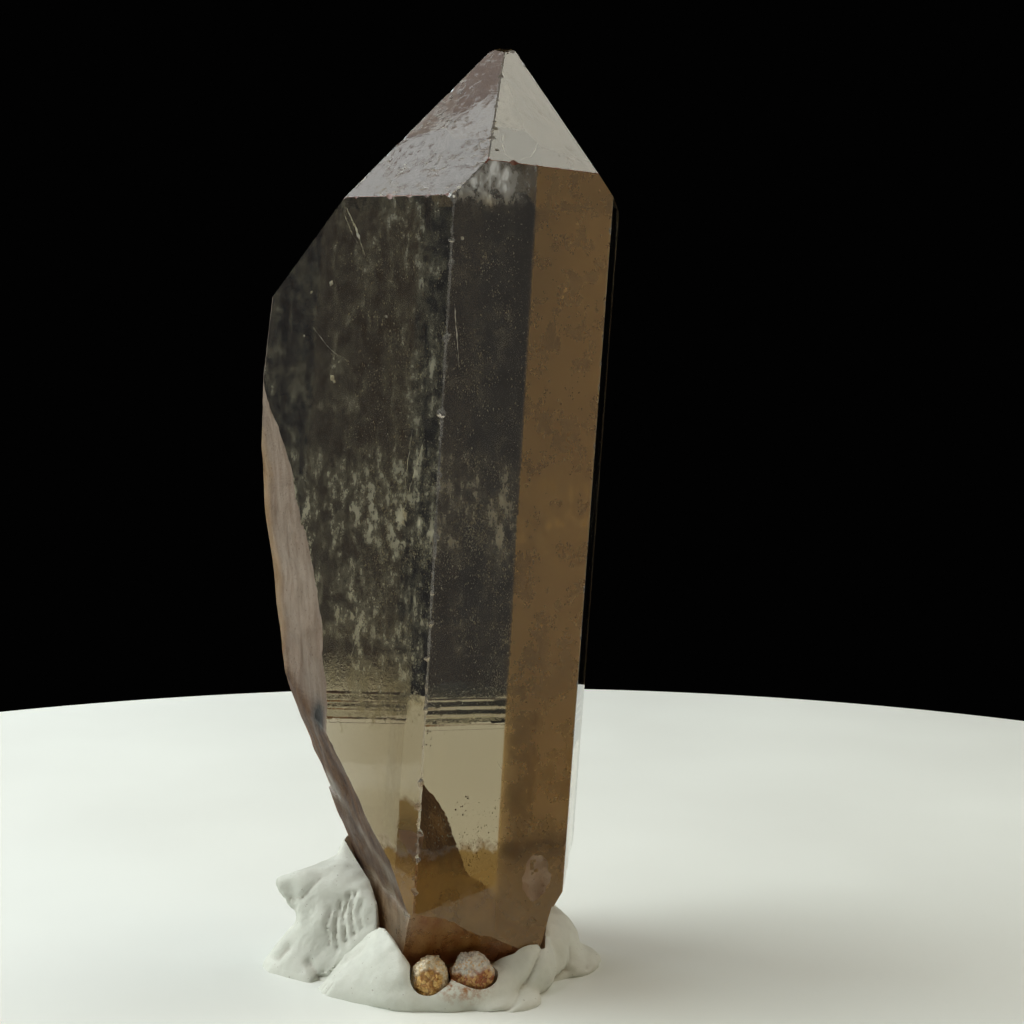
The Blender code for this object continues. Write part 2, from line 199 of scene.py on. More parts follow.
# Frost from 0 to 1 and tint of each surface
CLEAR_FINISH = (0.0, WHITE)
FINISH = {
    "prism_left": (0.50, (0.56, 0.33, 0.13)),
    "point_left": (0.50, (0.66, 0.50, 0.32)),
    "point_back_right": (0.35, (0.80, 0.66, 0.46)),
    "point_back_left": (0.62, (0.84, 0.86, 0.86)),
    "flank_break": (0.85, (0.40, 0.31, 0.245)),
    "upper_side_break": (0.75, (0.60, 0.42, 0.25)),
    "lower_side_break": (0.75, (0.54, 0.38, 0.23)),
    "flank_step": (0.80, (0.30, 0.23, 0.17)),
    "lower_left_break": (1.35, (0.17, 0.085, 0.025)),
    "lower_left_toe": (0.60, (0.50, 0.38, 0.26)),
    "back_left_break": (0.70, (0.56, 0.28, 0.09)),
    "right_foot_break": (0.40, (0.80, 0.52, 0.26)),
    "right_toe_break": (0.45, (0.70, 0.40, 0.15)),
    "front_foot_break": (0.55, (0.58, 0.33, 0.12)),
    "foot_break": (0.80, (0.46, 0.23, 0.07)),
    "right_foot_chip": (0.85, (0.60, 0.46, 0.34)),
    "flank_slot": (0.90, (0.03, 0.02, 0.015)),
    "growth_steps": (0.16, (0.75, 0.72, 0.58)),
    "edge": (0.30, (0.95, 0.92, 0.88)),
    "shoulder_stain": (0.60, (0.42, 0.15, 0.10)),
}
# Rust sits in the worn strip where these faces meet
STAINED_EDGES = [("point_front_left", "prism_front_left"), ("point_front_right", "prism_front_right")]
STAINED_REACH = 0.16
# How cloudy the crystal is just under each clear face, and the colour of the cloud
HAZE = {
    "prism_front_left": (1.45, (0.66, 0.61, 0.43)),
    "prism_front_right": (1.2, (0.66, 0.60, 0.45)),
    "prism_right": (0.45, (0.60, 0.58, 0.50)),
    "prism_back_left": (0.5, (0.60, 0.60, 0.52)),
    "point_front_left": (0.55, (0.66, 0.68, 0.70)),
    "point_front_right": (0.40, (0.62, 0.60, 0.52)),
}
# How often the finish of each rough face is blended with that of its neighbours
BLEND_ROUNDS = 5
# How pitted a clear face is
PITS = {"point_front_left": 1.0, "point_front_right": 0.3, "point_left": 0.5, "prism_front_left": 0.12,
        "prism_front_right": 0.12}
STAIN = {"prism_front_left": 1.0, "prism_front_right": 1.0, "prism_back_right": 1.0}
STAIN_COLOUR = (0.70, 0.41, 0.13)
STAIN_STRENGTH = 0.24
# How far the stain's edge goes to the right per mm of height
STAIN_LEAN = 0.0585
# The second stain, which spreads up from the foot
FOOT_COLOUR = (0.34, 0.185, 0.045)
FOOT_STRENGTH = 0.58
FOOT_WANDER = 5.0
HAZE_STRENGTH = 0.17
HAZE_ROUGHNESS = 0.28
HAZE_TOP_AMOUNT = 7.0
HAZE_TOP_COLOUR = (0.86, 0.90, 0.95)
# What the haze is made of, how far its borders wander in mm, how much of it lies above the clear
# window, and how much the dense band, the ridge and the stained side have
STREAK_SHARE = 0.45
PLAIN_SHARE = 0.12
CLUMP_SHARE = 0.55
HAZE_WANDER = 3.0
UPPER_HAZE = 0.60
BAND_HAZE = 1.25
RIDGE_HAZE = 0.45
FOG_HAZE = 1.2
STAINED_HAZE = 0.5
STAINED_SHARE = 0.9
# How much deeper the breaks' streaks, specks and lower parts are, as powers of their colour
STREAK_POWER = 1.5
SPECK_POWER = 2.4
LOW_POWER = 1.35
# Soil low on the breaks, and how far its border wanders in mm
SOIL_COLOUR = (0.36, 0.13, 0.04)
SOIL_WANDER = 4.0
# How far the grains' pale rim and pale top wander in mm
RIM_WANDER = 0.8
TOP_WANDER = 2.2

# Noise textures: scale per mm, detail and roughness, and for some a stretch of x, y and z first
NOISES = {
    "quartz_mottle": (0.55, 5.0, 0.62),
    "quartz_grain": (5.0, 3.0, 0.6),
    "break_streaks": (0.9, 4.0, 0.6, (1.6, 1.6, 0.28)),
    "foot_clumps": (0.6, 6.0, 0.66),
    "haze_clumps": (0.34, 6.0, 0.66, (1.0, 1.0, 0.62)),
    "haze_streaks": (0.75, 5.0, 0.6, (1.9, 1.9, 0.20)),
    "haze_wisps": (2.3, 5.0, 0.72, (1.0, 1.0, 0.55)),
    "haze_patches": (1.05, 5.0, 0.7, (1.0, 1.0, 0.8)),
    "waviness": (0.5, 2.0, 0.5),
    "pocks": (2.4, 3.0, 0.6),
    "pock_patches": (0.42, 3.0, 0.6),
    "clay_broad": (0.30, 4.0, 0.6),
    "clay_fine": (2.6, 4.0, 0.65),
    "clay_crumbs": (4.2, 1.0, 0.4),
    "clay_skin": (9.0, 2.0, 0.5),
    "pale_rim": (1.3, 3.0, 0.6),
    "rusty_top": (0.9, 3.0, 0.6),
    "floor_clouds": (0.035, 3.0, 0.5),
    "floor_specks": (1.5, 3.0, 0.6),
}
# How a value is mapped: from low and high, and to low and high where those aren't 0 and 1. Heights
# and distances are in mm
LEVELS = {
    "stain_edge": (4.12, 4.30),
    "stain_mottle": (0.36, 0.60, 0.75, 1.1),
    "stain_colour": (0.0, 0.5),
    "foot_height": (10.8, 8.6),
    "foot_clumps": (0.35, 0.62, 0.75, 1.0),
    "foot_colour": (0.0, 0.32),
    "haze_clumps": (0.42, 0.68),
    "haze_streaks": (0.45, 0.70),
    "haze_wisps": (0.38, 0.70, 0.25, 1.5),
    "haze_patches": (0.40, 0.66, 0.15, 1.9),
    "haze_fade": (18.6, 23.5),
    "haze_ridge_foot": (27.5, 31.0),
    "haze_low_side": (-0.3, 0.9, 0.7, 0.0),
    "haze_side": (5.4, 6.4, 1.0, 0.0),
    "haze_top": (52.2, 53.3),
    "haze_colour": (0.0, 0.25),
    "break_streaks": (0.36, 0.66),
    "break_specks": (0.62, 0.70),
    "darker_below": (20.0, 27.0, 0.8, 0.0),
    "soil_height": (4.6, 5.6, 1.0, 0.0),
    "frost_mottle": (0.32, 0.60, 0.65, 1.0),
    "pocks": (0.52, 0.70),
    "pock_patches": (0.44, 0.62),
    "clay_light": (0.36, 0.64),
    "clay_grey": (0.50, 0.75, 0.0, 0.35),
    "clay_crease_shade": (0.35, 1.0, 0.0, 0.6),
    "clay_crumbs": (0.745, 0.775, 0.0, 0.75),
    "clay_rust": (0.44, 0.62),
    "clay_rust_reach": (1.7, 2.7, 1.0, 0.0),
    "clay_roughness": (0.3, 0.7, 0.50, 0.64),
    "crust_bright": (0.45, 0.75),
    "crust_sparkle": (0.80, 0.84, 0.0, 0.7),
    "crust_gap": (0.60, 0.90, 0.0, 0.5),
    "crust_roughness": (0.0, 1.0, 0.22, 0.55),
    "pale_rim": (1.22, 1.44),
    "rusty_top": (3.15, 3.6),
    "floor_clouds": (0.35, 0.65),
    "floor_specks": (0.60, 0.80, 0.0, 0.5),
    "floor_roughness": (0.3, 0.7, 0.50, 0.60),
    "shade_sheet_fade": (-74, -50),
}
# Bands in mm: from 0 up to 1 over the first two numbers, and back to 0 over the last two
BANDS = {
    "haze_band": (27.6, 31.0, 33.6, 36.6),
    "haze_ridge": (-2.6, -1.2, 0.5, 1.4),
    "haze_low": (19.0, 21.5, 26.5, 29.0),
    "haze_top": (1.6, 2.4, 7.3, 8.1),
    "stain_fog": (30.5, 31.2, 31.5, 32.2),
}
# Bumps: depth in mm and strength
BUMPS = {
    "waviness": (0.006, 1.0),
    "pocks": (-0.022, 1.0),
    "break_grain": (0.10, 0.8),
    "kneading": (0.05, 0.7),
    "clay_skin": (0.012, 0.6),
    "crust_grains": (0.12, 0.9),
    "crust_sugar": (0.04, 0.8),
    "floor_specks": (0.01, 0.5),
}

# Edges worn and nicked: the two faces, the two surfaces that end the edge, the mean width of the
# worn strip, how deep its nicks go, and a seed
WORN_EDGES = {
    "front_edge": ("prism_front_left", "prism_front_right", "point_front_left", "foot", 0.15, 0.42, 2.0),
    "right_front_edge": ("prism_front_right", "prism_right", "point_front_right", "foot", 0.05, 0.16, 9.0),
    "right_back_edge": ("prism_right", "prism_back_right", "point_right", "foot", 0.05, 0.16, 15.0),
    "tip_edge": ("point_front_left", "point_front_right", "prism_front_right", "tip_0", 0.12, 0.50, 21.0),
    "left_shoulder": ("point_front_left", "prism_front_left", "prism_left", "prism_front_right",
                      0.05, 0.16, 27.0),
    "front_shoulder": ("point_front_right", "prism_front_right", "point_front_left", "prism_right",
                       0.05, 0.16, 33.0),
    "left_tip_edge": ("point_front_left", "point_left", "prism_left", "tip_0", 0.05, 0.20, 39.0),
    "right_tip_edge": ("point_front_right", "point_right", "prism_right", "tip_0", 0.05, 0.16, 45.0),
    "shoulder_corner": ("point_front_left", "prism_front_right", "prism_front_left",
                        "point_front_right", 0.10, 0.34, 51.0),
    "left_upper_edge": ("prism_left", "prism_front_left", "point_left", "upper_side_break",
                        0.05, 0.20, 57.0),
}
# The slab that wears an edge: its cell, width, depth and how much longer than the edge it is
WEAR_CELL = 0.09
WEAR_WIDTH = 1.8
WEAR_DEPTH = 1.2
WEAR_MARGIN = 1.0

# Growth steps across the back left face: height in mm, and how deep the face lies below its plane
GROWTH_PROFILE = [(24.0, -0.03), (22.6, 0.0), (21.50, 0.060), (18.80, 0.165),
                  (18.62, 0.02), (18.10, 0.055), (18.00, 0.005), (17.55, 0.045), (17.42, 0.0),
                  (16.90, 0.03), (16.78, -0.03)]
# The slab that leaves them: its cell up and across the face, its width, how much higher than the
# steps it is, and its depth
GROWTH_CELL = 0.075
GROWTH_CELL_ACROSS = 0.5
GROWTH_WIDTH = 17.0
GROWTH_MARGIN = 0.6
GROWTH_DEPTH = 1.0

# Clouds of tiny specks inside the crystal, behind a front face: the face, the range in x and z, how
# deep they reach, how many, their least and greatest radius, and a seed
VEILS = {
    "left_veil": ("prism_front_left", (-8.9, 0.9), (16.5, 53.0), 4.5, 5200, (0.012, 0.042), 11),
    "right_veil": ("prism_front_right", (0.4, 6.2), (17.5, 53.0), 4.0, 2900, (0.012, 0.040), 12),
    "band_veil": ("prism_front_right", (5.5, 11.6), (8.0, 53.0), 2.0, 700, (0.012, 0.034), 13),
    "cloud_left": ("prism_front_left", (-8.4, 0.6), (28.0, 35.5), 3.0, 2600, (0.014, 0.045), 14),
    "cloud_right": ("prism_front_right", (0.5, 6.0), (27.5, 34.5), 3.0, 1200, (0.014, 0.042), 15),
    "low_haze": ("prism_front_left", (-7.6, -2.4), (19.5, 28.5), 2.5, 1500, (0.012, 0.040), 16),
    "window_haze": ("prism_front_right", (3.9, 5.9), (19.5, 25.5), 1.5, 420, (0.014, 0.036), 17),
    "base_haze": ("prism_front_right", (-0.5, 8.5), (3.5, 13.5), 3.0, 1100, (0.014, 0.045), 18),
}
# How thick a veil is at the least, how fast it thins out at its top and foot, how near the face it
# begins and gathers, how much oftener its specks are small, how far they are turned in radians,
# how long they are, and how far from every face they stay
VEIL_LEAST = 0.22
VEIL_EDGE = 5
VEIL_NEAREST = 0.25
VEIL_CROWDING = 1.4
VEIL_FINENESS = 3
VEIL_TURN = 0.5
VEIL_STRETCH = (1.0, 3.2)
VEIL_MARGIN = 0.3
# How deep grit lies under its face, how far from the other faces, how much oftener it is small,
# how far it is turned in radians, and how long it is
GRIT_NEAREST = 0.06
GRIT_CLEARANCE = 1.6
GRIT_REACH = 0.3
GRIT_MARGIN = 0.35
GRIT_FINENESS = 2
GRIT_TURN = 1.5
GRIT_STRETCH = (0.7, 1.6)
# Dark flakes inside: the face, the outline in x and z, the depth and the thickness
FLAKES = {
    "brown_flake": ("prism_front_left", [(-1.61, 11.69), (-0.75, 11.78), (0.03, 11.56), (-0.10, 10.95),
                                         (-0.35, 10.36), (-0.83, 9.92), (-1.15, 10.75), (-1.52, 11.02)],
                    0.35, 0.10),
    "amber_flake": ("prism_front_left", [(-0.95, 11.35), (-0.40, 11.42), (-0.28, 11.0), (-0.62, 10.72)],
                    0.20, 0.06),
}
# Dark grit under a face: the face, the middle, the half width and height, how many, and the radii
GRIT = [
    ("prism_front_right", (6.9, 11.2), (1.25, 0.62), 60, (0.03, 0.13)),
    ("prism_front_right", (2.45, 13.2), (0.45, 0.9), 14, (0.03, 0.09)),
    ("prism_front_right", (0.25, 17.9), (0.25, 0.7), 12, (0.03, 0.08)),
    ("prism_front_left", (-8.65, 40.4), (0.55, 0.7), 26, (0.03, 0.10)),
    ("prism_front_left", (-5.9, 16.6), (1.1, 2.0), 18, (0.02, 0.06)),
    ("prism_front_right", (3.6, 9.4), (1.8, 2.0), 40, (0.02, 0.07)),
    ("prism_front_left", (-2.6, 8.6), (1.5, 2.0), 34, (0.02, 0.07)),
    ("point_front_right", (5.87, 57.49), (0.22, 0.12), 6, (0.04, 0.09)),
]
SPECK_CORNERS = ((1, 0, 0), (0, 1, 0), (-1, 0, 0), (0, -1, 0), (0, 0, 1), (0, 0, -1))
SPECK_FACES = ((0, 1, 4), (1, 2, 4), (2, 3, 4), (3, 0, 4), (1, 0, 5), (2, 1, 5), (3, 2, 5), (0, 3, 5))
# Brighter flecks behind each face: place in x and z, depth, radius and stretch in height
FLECKS = {
    "prism_front_left": [
        (-6.29, 47.66, 0.10, 0.13, 1.2), (-7.74, 47.13, 0.10, 0.09, 1.0), (-6.23, 41.33, 0.05, 0.16, 1.1),
        (-6.10, 41.10, 0.10, 0.10, 1.0), (-1.22, 32.40, 0.15, 0.17, 2.0), (-1.35, 31.90, 0.15, 0.12, 2.2),
        (-4.56, 23.94, 0.10, 0.07, 1.0), (-4.50, 22.08, 0.10, 0.12, 1.3), (-8.30, 44.20, 0.10, 0.07, 1.0),
        (-2.40, 45.30, 0.20, 0.06, 1.6),
    ],
    "prism_front_right": [
        (2.56, 50.15, 0.05, 0.09, 1.4), (2.38, 53.34, 0.02, 0.12, 0.8), (2.06, 52.76, 0.02, 0.09, 1.0),
        (5.48, 53.97, 0.05, 0.06, 1.0), (10.01, 51.33, 0.05, 0.10, 1.7), (9.61, 50.14, 0.05, 0.06, 1.3),
        (9.22, 47.07, 0.05, 0.11, 1.6), (9.05, 46.60, 0.05, 0.07, 1.4), (8.90, 45.90, 0.05, 0.05, 1.4),
        (9.60, 46.10, 0.05, 0.05, 1.4), (8.15, 17.12, 0.05, 0.06, 1.3), (9.30, 29.20, 0.05, 0.05, 1.2),
        (11.26, 41.52, 0.02, 0.06, 1.2),
    ],
    "prism_right": [
        (11.83, 36.92, 0.02, 0.08, 1.3), (11.68, 35.38, 0.02, 0.08, 1.0), (11.50, 33.84, 0.02, 0.09, 1.2),
        (11.05, 28.10, 0.02, 0.08, 1.2),
    ],
    "point_front_left": [
        (-1.32, 55.33, 0.02, 0.06, 1.4),
    ],
}
# How much larger the flecks are made, and how far they are turned in radians
FLECK_SCALE = 1.5
FLECK_TURN = 0.8
# Healed cracks: thin bright sheets inside, each a face and its (x, z) points, depth and width
HAIRLINES = {
    "wedge_crack": ("prism_front_left", [(-5.15, 52.55), (-4.5, 51.1), (-3.87, 49.32)], 0.25, 0.16),
    "wedge_crack_low": ("prism_front_left", [(-5.3, 52.2), (-4.9, 51.2), (-4.4, 50.2)], 0.45, 0.06),
    "upper_hairline": ("prism_front_right", [(2.02, 46.0), (2.15, 44.2), (2.28, 41.8)], 0.30, 0.08),
    "cloud_hairline": ("prism_front_left", [(0.14, 37.29), (-0.70, 34.6), (-1.56, 31.4)], 0.25, 0.07),
    "cloud_hairline_far": ("prism_front_left", [(-0.55, 37.9), (-0.95, 35.2), (-1.2, 32.4)], 0.8, 0.05),
    "left_hairline": ("prism_front_left", [(-7.6, 44.8), (-6.3, 43.2), (-5.0, 42.4)], 0.6, 0.035),
    "low_scratch": ("prism_front_left", [(-3.9, 25.6), (-4.5, 24.1), (-4.9, 22.8)], 0.35, 0.05),
    "window_crack": ("prism_front_right", [(4.75, 15.95), (5.01, 15.47), (5.25, 15.05)], 0.20, 0.05),
    "right_hairline": ("prism_front_right", [(9.2, 45.6), (8.7, 44.3), (8.4, 43.4)], 0.25, 0.04),
    "tip_crack": ("point_front_right",
                  [(5.15, 57.05), (5.10, 56.3), (5.29, 55.6), (5.8, 55.3), (6.26, 55.32)], 0.15, 0.05),
    "tip_crack_right": ("point_front_right", [(6.26, 55.32), (6.9, 55.6), (7.24, 56.13), (7.45, 57.0)],
                        0.15, 0.045),
    "shelf_line": ("prism_front_right", [(0.9, 23.15), (3.0, 23.2), (5.4, 23.1)], 0.30, 0.10),
    "foot_crack": ("prism_front_right", [(6.30, 4.55), (6.05, 5.0), (5.80, 5.6)], 0.10, 0.09),
    "foot_curve": ("prism_front_right", [(6.05, 8.55), (5.80, 8.0), (5.90, 7.5), (6.20, 7.2)], 0.10, 0.10),
}
# The length of a step along a crack, how thick it is for its width, how wide its ends are, how
# fast it narrows towards its last end, and how far it has swollen at its first
CRACK_STEP = 0.12
CRACK_THICKNESS = 0.35
CRACK_ENDS = 0.25
CRACK_TAPER = 1.15
CRACK_START = 0.05

# The lump of putty: rounded lobes, each with centre, radii and Euler turn in degrees
PUTTY_LOBES = {
    "middle": ((0.2, 0.8, 0.2), (9.4, 8.6, 3.0), (0, 0, 0)),
    "left_core": ((-7.2, 0.2, 2.6), (2.3, 3.6, 3.4), (0, 0, 0)),
    "front_roll": ((1.4, -8.0, 0.5), (5.4, 2.6, 1.7), (0, 0, 8)),
    "right_roll": ((6.3, -5.4, 1.3), (2.5, 2.7, 2.3), (0, 0, 0)),
    "front_apron": ((4.9, -8.2, 0.0), (3.0, 2.5, 0.8), (0, 0, -10)),
    "right_lobe": ((7.4, -0.2, 0.6), (3.3, 5.2, 3.4), (0, 6, 0)),
    "right_toe": ((10.0, -0.9, 0.2), (2.1, 3.2, 0.9), (0, 0, -10)),
    "back_lobe": ((0.4, 6.4, 0.9), (6.6, 4.0, 2.9), (0, 0, 6)),
}
# Pinched and folded masses with flatter sides: the corners of each
PUTTY_FOLDS = {
    "left_block": [(-9.45, -0.8, 6.65), (-7.75, -0.8, 7.0), (-6.4, -0.2, 7.15), (-4.3, 0.6, 7.0),
                   (-5.0, 3.2, 6.9), (-6.9, 4.2, 6.6), (-9.5, 3.2, 5.0), (-9.45, -1.9, 3.1), (-9.7, 2.8, 1.2),
                   (-8.6, -4.5, -0.6), (-5.7, -5.4, -1.0), (-3.2, -5.2, 2.1), (-3.4, -3.7, 5.1),
                   (-4.4, -2.3, 6.1)],
    "left_horn": [(-7.2, 0.4, 6.5), (-6.35, 2.0, 8.45), (-6.0, 3.2, 8.4), (-4.6, 1.0, 7.6),
                  (-4.6, -1.2, 6.2), (-6.9, 3.8, 5.4), (-6.6, -0.8, 6.0), (-4.6, 3.4, 6.0), (-5.0, 2.6, 8.1)],
    "left_nose": [(-11.0, 0.0, 6.0), (-11.05, -0.4, 5.55), (-10.6, -0.8, 4.8), (-9.8, -1.2, 3.8),
                  (-9.0, -0.9, 6.8), (-8.3, -1.8, 4.5), (-10.9, 2.2, 4.9), (-9.7, 2.4, 3.2),
                  (-9.2, 2.4, 5.5)],
    "left_skirt": [(-12.0, -1.6, -0.1), (-11.9, -1.0, 0.3), (-11.0, -1.3, 1.15), (-9.5, -1.7, 3.2),
                   (-11.4, -2.9, -0.3), (-9.8, -4.0, -0.3), (-7.9, -5.2, -0.3), (-7.1, -4.2, 1.5),
                   (-11.8, 2.0, -0.3), (-9.7, 2.5, 1.4)],
    "front_flap": [(-3.1, -5.6, 4.35), (-3.95, -4.7, 3.75), (-5.85, -5.5, 2.1), (-7.85, -5.9, -0.3),
                   (-7.4, -7.1, -0.3), (-5.6, -8.4, -0.3), (-3.4, -9.5, -0.3), (-0.8, -10.1, -0.3),
                   (1.0, -10.4, -0.1), (-1.0, -9.4, 3.0), (-2.1, -8.3, 4.1), (-2.7, -6.9, 4.5),
                   (-1.6, -10.1, 2.3)],
    "front_rise": [(3.0, -10.3, 0.1), (4.8, -9.5, 0.7), (6.3, -8.3, 1.3), (7.6, -7.0, 2.0), (8.15, -5.7, 2.8),
                   (8.3, -4.2, 3.3), (5.3, -7.2, 1.7), (3.5, -9.9, 1.25), (6.3, -4.0, -0.8),
                   (8.1, -3.0, 1.0)],
}
# How finely the putty is grown into one lump, how often that is smoothed, and the size of the
# block that cuts its underside flat
PUTTY_VOXEL = 0.22
PUTTY_SMOOTH_STEPS = 16
UNDERSIDE_SIZE = 60.0
# Creases in the putty as seen from the front: (x, z) points, half width, depth, and how far back
# in y they may lie
PUTTY_CREASES = {
    "front_fold": ([(-7.25, 0.85), (-5.9, 2.0), (-4.7, 2.95), (-3.9, 3.9)], 0.42, 0.50, -4.6),
    "lens_left": ([(-6.17, 5.1), (-6.55, 3.6), (-6.35, 2.1)], 0.15, 0.24, -2.0),
    "lens_middle": ([(-5.60, 5.6), (-6.02, 4.2), (-5.70, 2.6)], 0.14, 0.26, -2.0),
    "lens_right": ([(-5.15, 5.7), (-5.50, 4.5), (-5.15, 3.1)], 0.13, 0.20, -2.0),
    "lens_far_left": ([(-6.8, 4.6), (-7.12, 3.6), (-6.9, 2.3)], 0.12, 0.14, -1.6),
    "lens_far_right": ([(-4.65, 5.2), (-4.90, 4.4), (-4.6, 3.6)], 0.12, 0.16, -2.0),
    "nose_fold": ([(-10.0, 4.7), (-9.0, 5.0), (-8.2, 5.9), (-7.7, 6.4)], 0.16, 0.09, 0.5),
    "skirt_fold": ([(-11.6, 0.80), (-10.64, 0.92), (-9.9, 1.7)], 0.26, 0.24, 0.5),
    "skirt_step": ([(-8.3, 1.1), (-7.5, 0.35), (-7.7, -0.2)], 0.28, 0.30, -3.0),
    "edge_crease": ([(-7.3, 0.0), (-6.8, 0.65)], 0.13, 0.16, -5.0),
    "edge_crease_inner": ([(-6.95, 0.0), (-6.3, 0.8)], 0.12, 0.13, -5.0),
    "roll_crease": ([(4.2, -0.2), (5.2, 0.10), (6.16, 0.66), (6.83, 1.23), (7.28, 1.92), (7.8, 3.0)],
                    0.20, 0.34, -3.0),
    "lobe_crease": ([(9.9, 1.9), (10.0, 1.1), (9.6, 0.5), (8.9, 0.2)], 0.22, 0.26, 2.5),
    "lobe_crease_low": ([(8.4, -0.1), (9.2, 0.3), (9.8, 0.6)], 0.20, 0.20, 2.5),
    "lobe_dimple": ([(11.05, 0.62), (11.10, 0.48)], 0.24, 0.28, 2.5),
}
# How wide the painted shade in a crease is for the crease, and how far the marked skin may face away
CREASE_SHADE_WIDTH = 0.6
FRONT_FACING = 0.35
# Ridged finger marks: centre in x and z, half width and height, ridge spacing, depth, and how far
# back in y they reach
FINGER_MARKS = [
    ((-9.2, 4.5), (1.7, 1.5), 0.34, 0.10, 1.0),
    ((-7.4, 2.0), (2.2, 1.9), 0.44, 0.06, -1.5),
    ((-2.6, 1.5), (1.5, 1.3), 0.45, 0.035, -6.0),
]
# How suddenly a mark ends at its outline, and how much flatter than circles its ridges are
MARK_EDGE = 4
MARK_ARCH = 1.5

# Where the putty reaches the crystal it keeps a small gap to its faces and to its rough breaks:
# those above the toe, then those at the toe
SOCKETS = {
    "foot_socket": (0.12, 0.30, ("lower_left_break", "back_left_break", "right_foot_break",
                                 "front_foot_break", "foot_break")),
    "toe_socket": (0.14, 0.32, ("lower_left_toe", "back_left_break", "right_toe_break",
                                "front_foot_break", "foot_break")),
}

# Iron-stained grains of the old matrix, still fixed to the crystal's foot: centre, radii and seed
GRAINS = {
    "matrix_grain_pale": ((0.26, -8.95, 1.75), (1.32, 1.30, 1.46), 3.0),
    "matrix_grain_rusty": ((3.05, -8.30, 1.80), (1.48, 1.35, 1.48), 8.0),
}
# The gap round a grain, how often its ball is divided, how much its lumps add to its radii, and
# the share of them that its socket makes room for
GRAIN_GAP = 0.16
GRAIN_ROUNDS = 6
GRAIN_LUMPS = 0.16
GRAIN_SWELLING = 0.6
# Scale and share of the lumps, facets, crumbs and sugary points on the grains
LUMP_SCALE = 1.7
FACET_SCALE = 2.2
FACET_SHARE = 0.2
CRUMB_SCALE = 5.5
CRUMB_MIDDLE = 0.4
CRUMB_SHARE = 0.55
SUGAR_SCALE = 14.0
SUGAR_SHARE = 0.16

# Angles in degrees above which an edge stays sharp
CRYSTAL_CREASE = 24
PUTTY_CREASE = 50
GRAIN_CREASE = 60
FLOOR_CREASE = 40

CLAY_LIGHT = (0.71, 0.725, 0.65)
CLAY_GREY = (0.60, 0.61, 0.54)
# The dark crumbs' colour, which is also the painted shade in the creases
CLAY_CRUMBS_AND_SHADE = (0.36, 0.33, 0.27)
CLAY_RUST = (0.40, 0.20, 0.09)
RUST_CENTRE = (2.4, -8.9, 2.4)
AMBER = (0.42, 0.20, 0.05)
GOLD = (0.74, 0.47, 0.16)
CREAM = (0.74, 0.64, 0.46)
RUST = (0.34, 0.105, 0.034)
OCHRE = (0.62, 0.36, 0.13)
CHALK = (0.66, 0.62, 0.54)
CRUST_GAP = (0.11, 0.055, 0.03)
CRUST_CELLS = 3.6
SUGAR_CELLS = 7.5
INCLUSION_ROUGHNESS = 0.5
FLOOR_LIGHT = (0.81, 0.84, 0.80)
FLOOR_SHADE = (0.79, 0.815, 0.775)

# The dark sheet of painted shade that the crystal's foot mirrors, standing for shadow on the floor before the
# disc: its corners and its colour
SHEET_CORNERS = ((-80, -76, 0.05), (80, -76, 0.05), (80, -22, 0.05), (-80, -22, 0.05))
PAINTED_SHADE_COLOUR = (0.10, 0.095, 0.085)
SHEET_ROUGHNESS = 0.6


def direction(azimuth, tilt, base=Matrix.Identity(3)):
    """A unit vector: azimuth in degrees from -Y towards +X, tilt in degrees above the horizontal."""
    a = math.radians(azimuth)
    t = math.radians(tilt)
    return base @ Vector((math.sin(a) * math.cos(t), -math.cos(a) * math.cos(t), math.sin(t)))


def crystal_frame():
    """The crystal's own axes as a matrix: its third column is the long axis."""
    up = Vector((math.sin(LEAN_RIGHT), math.sin(LEAN_BACK), 0.0))
    up.z = math.sqrt(1 - up.length_squared)
    right = Vector((0, 1, 0)).cross(up).normalized()
    return Matrix((right, up.cross(right), up)).transposed()


AXES = crystal_frame()


def face_plane(faces, name):
    """A face's outward normal and a point on it."""
    azimuth, tilt, distance = faces[name]
    normal = direction(FRONT_RIGHT_AZIMUTH + azimuth, tilt, AXES)
    return normal, AXIS_POINT + normal * distance


def break_plane(name):
    """A rough break's outward normal and a point on it."""
    azimuth, tilt, at = BREAKS[name][:3]
    return direction(azimuth, tilt), Vector(at)


def layered(layers, place):
    """Several noises at a place, added up."""
    total = 0.0
    for frequency, offset, share, *limits in layers:
        lift, least, most = limits or (0.0, -math.inf, math.inf)
        at = Vector([p * f + o for p, f, o in zip(place, frequency, offset)])
        total += share * min(most, max(least, noise.noise(at) + lift))
    return total


def object_from(name, bm):
    """A linked object made from a bmesh in mm."""
    bmesh.ops.scale(bm, verts=bm.verts, vec=(MM, MM, MM))
    mesh = bpy.data.meshes.new(name)
    bm.to_mesh(mesh)
    bm.free()
    made = bpy.data.objects.new(name, mesh)
    bpy.context.scene.collection.objects.link(made)
    return made


def shade(obj, crease):
    """Shades an object smooth, except at edges above an angle in degrees."""
    obj.data.shade_smooth()
    obj.data.set_sharp_from_angle(angle=math.radians(crease))


def cut_away(bm, point, normal):
    """Removes what lies on the outward side of a plane and closes the cut with one flat face."""
    parts = bm.verts[:] + bm.edges[:] + bm.faces[:]
    cut = bmesh.ops.bisect_plane(bm, geom=parts, plane_co=point, plane_no=normal, clear_outer=True)
    rim = [e for e in cut["geom_cut"] if isinstance(e, bmesh.types.BMEdge)]
    if rim:
        bmesh.ops.contextual_create(bm, geom=rim)


def crystal_body(grow=0.0):
    """The whole crystal with flat faces, as a bmesh in mm; grow moves every face outward."""
    bm = bmesh.new()
    bmesh.ops.create_cube(bm, size=BLOCK_SIZE)
    for normal, at in crystal_planes().values():
        cut_away(bm, at + normal * grow, normal)
    cut_away(bm, Vector((0, 0, FOOT_HEIGHT - grow)), Vector((0, 0, -1)))
    return bm


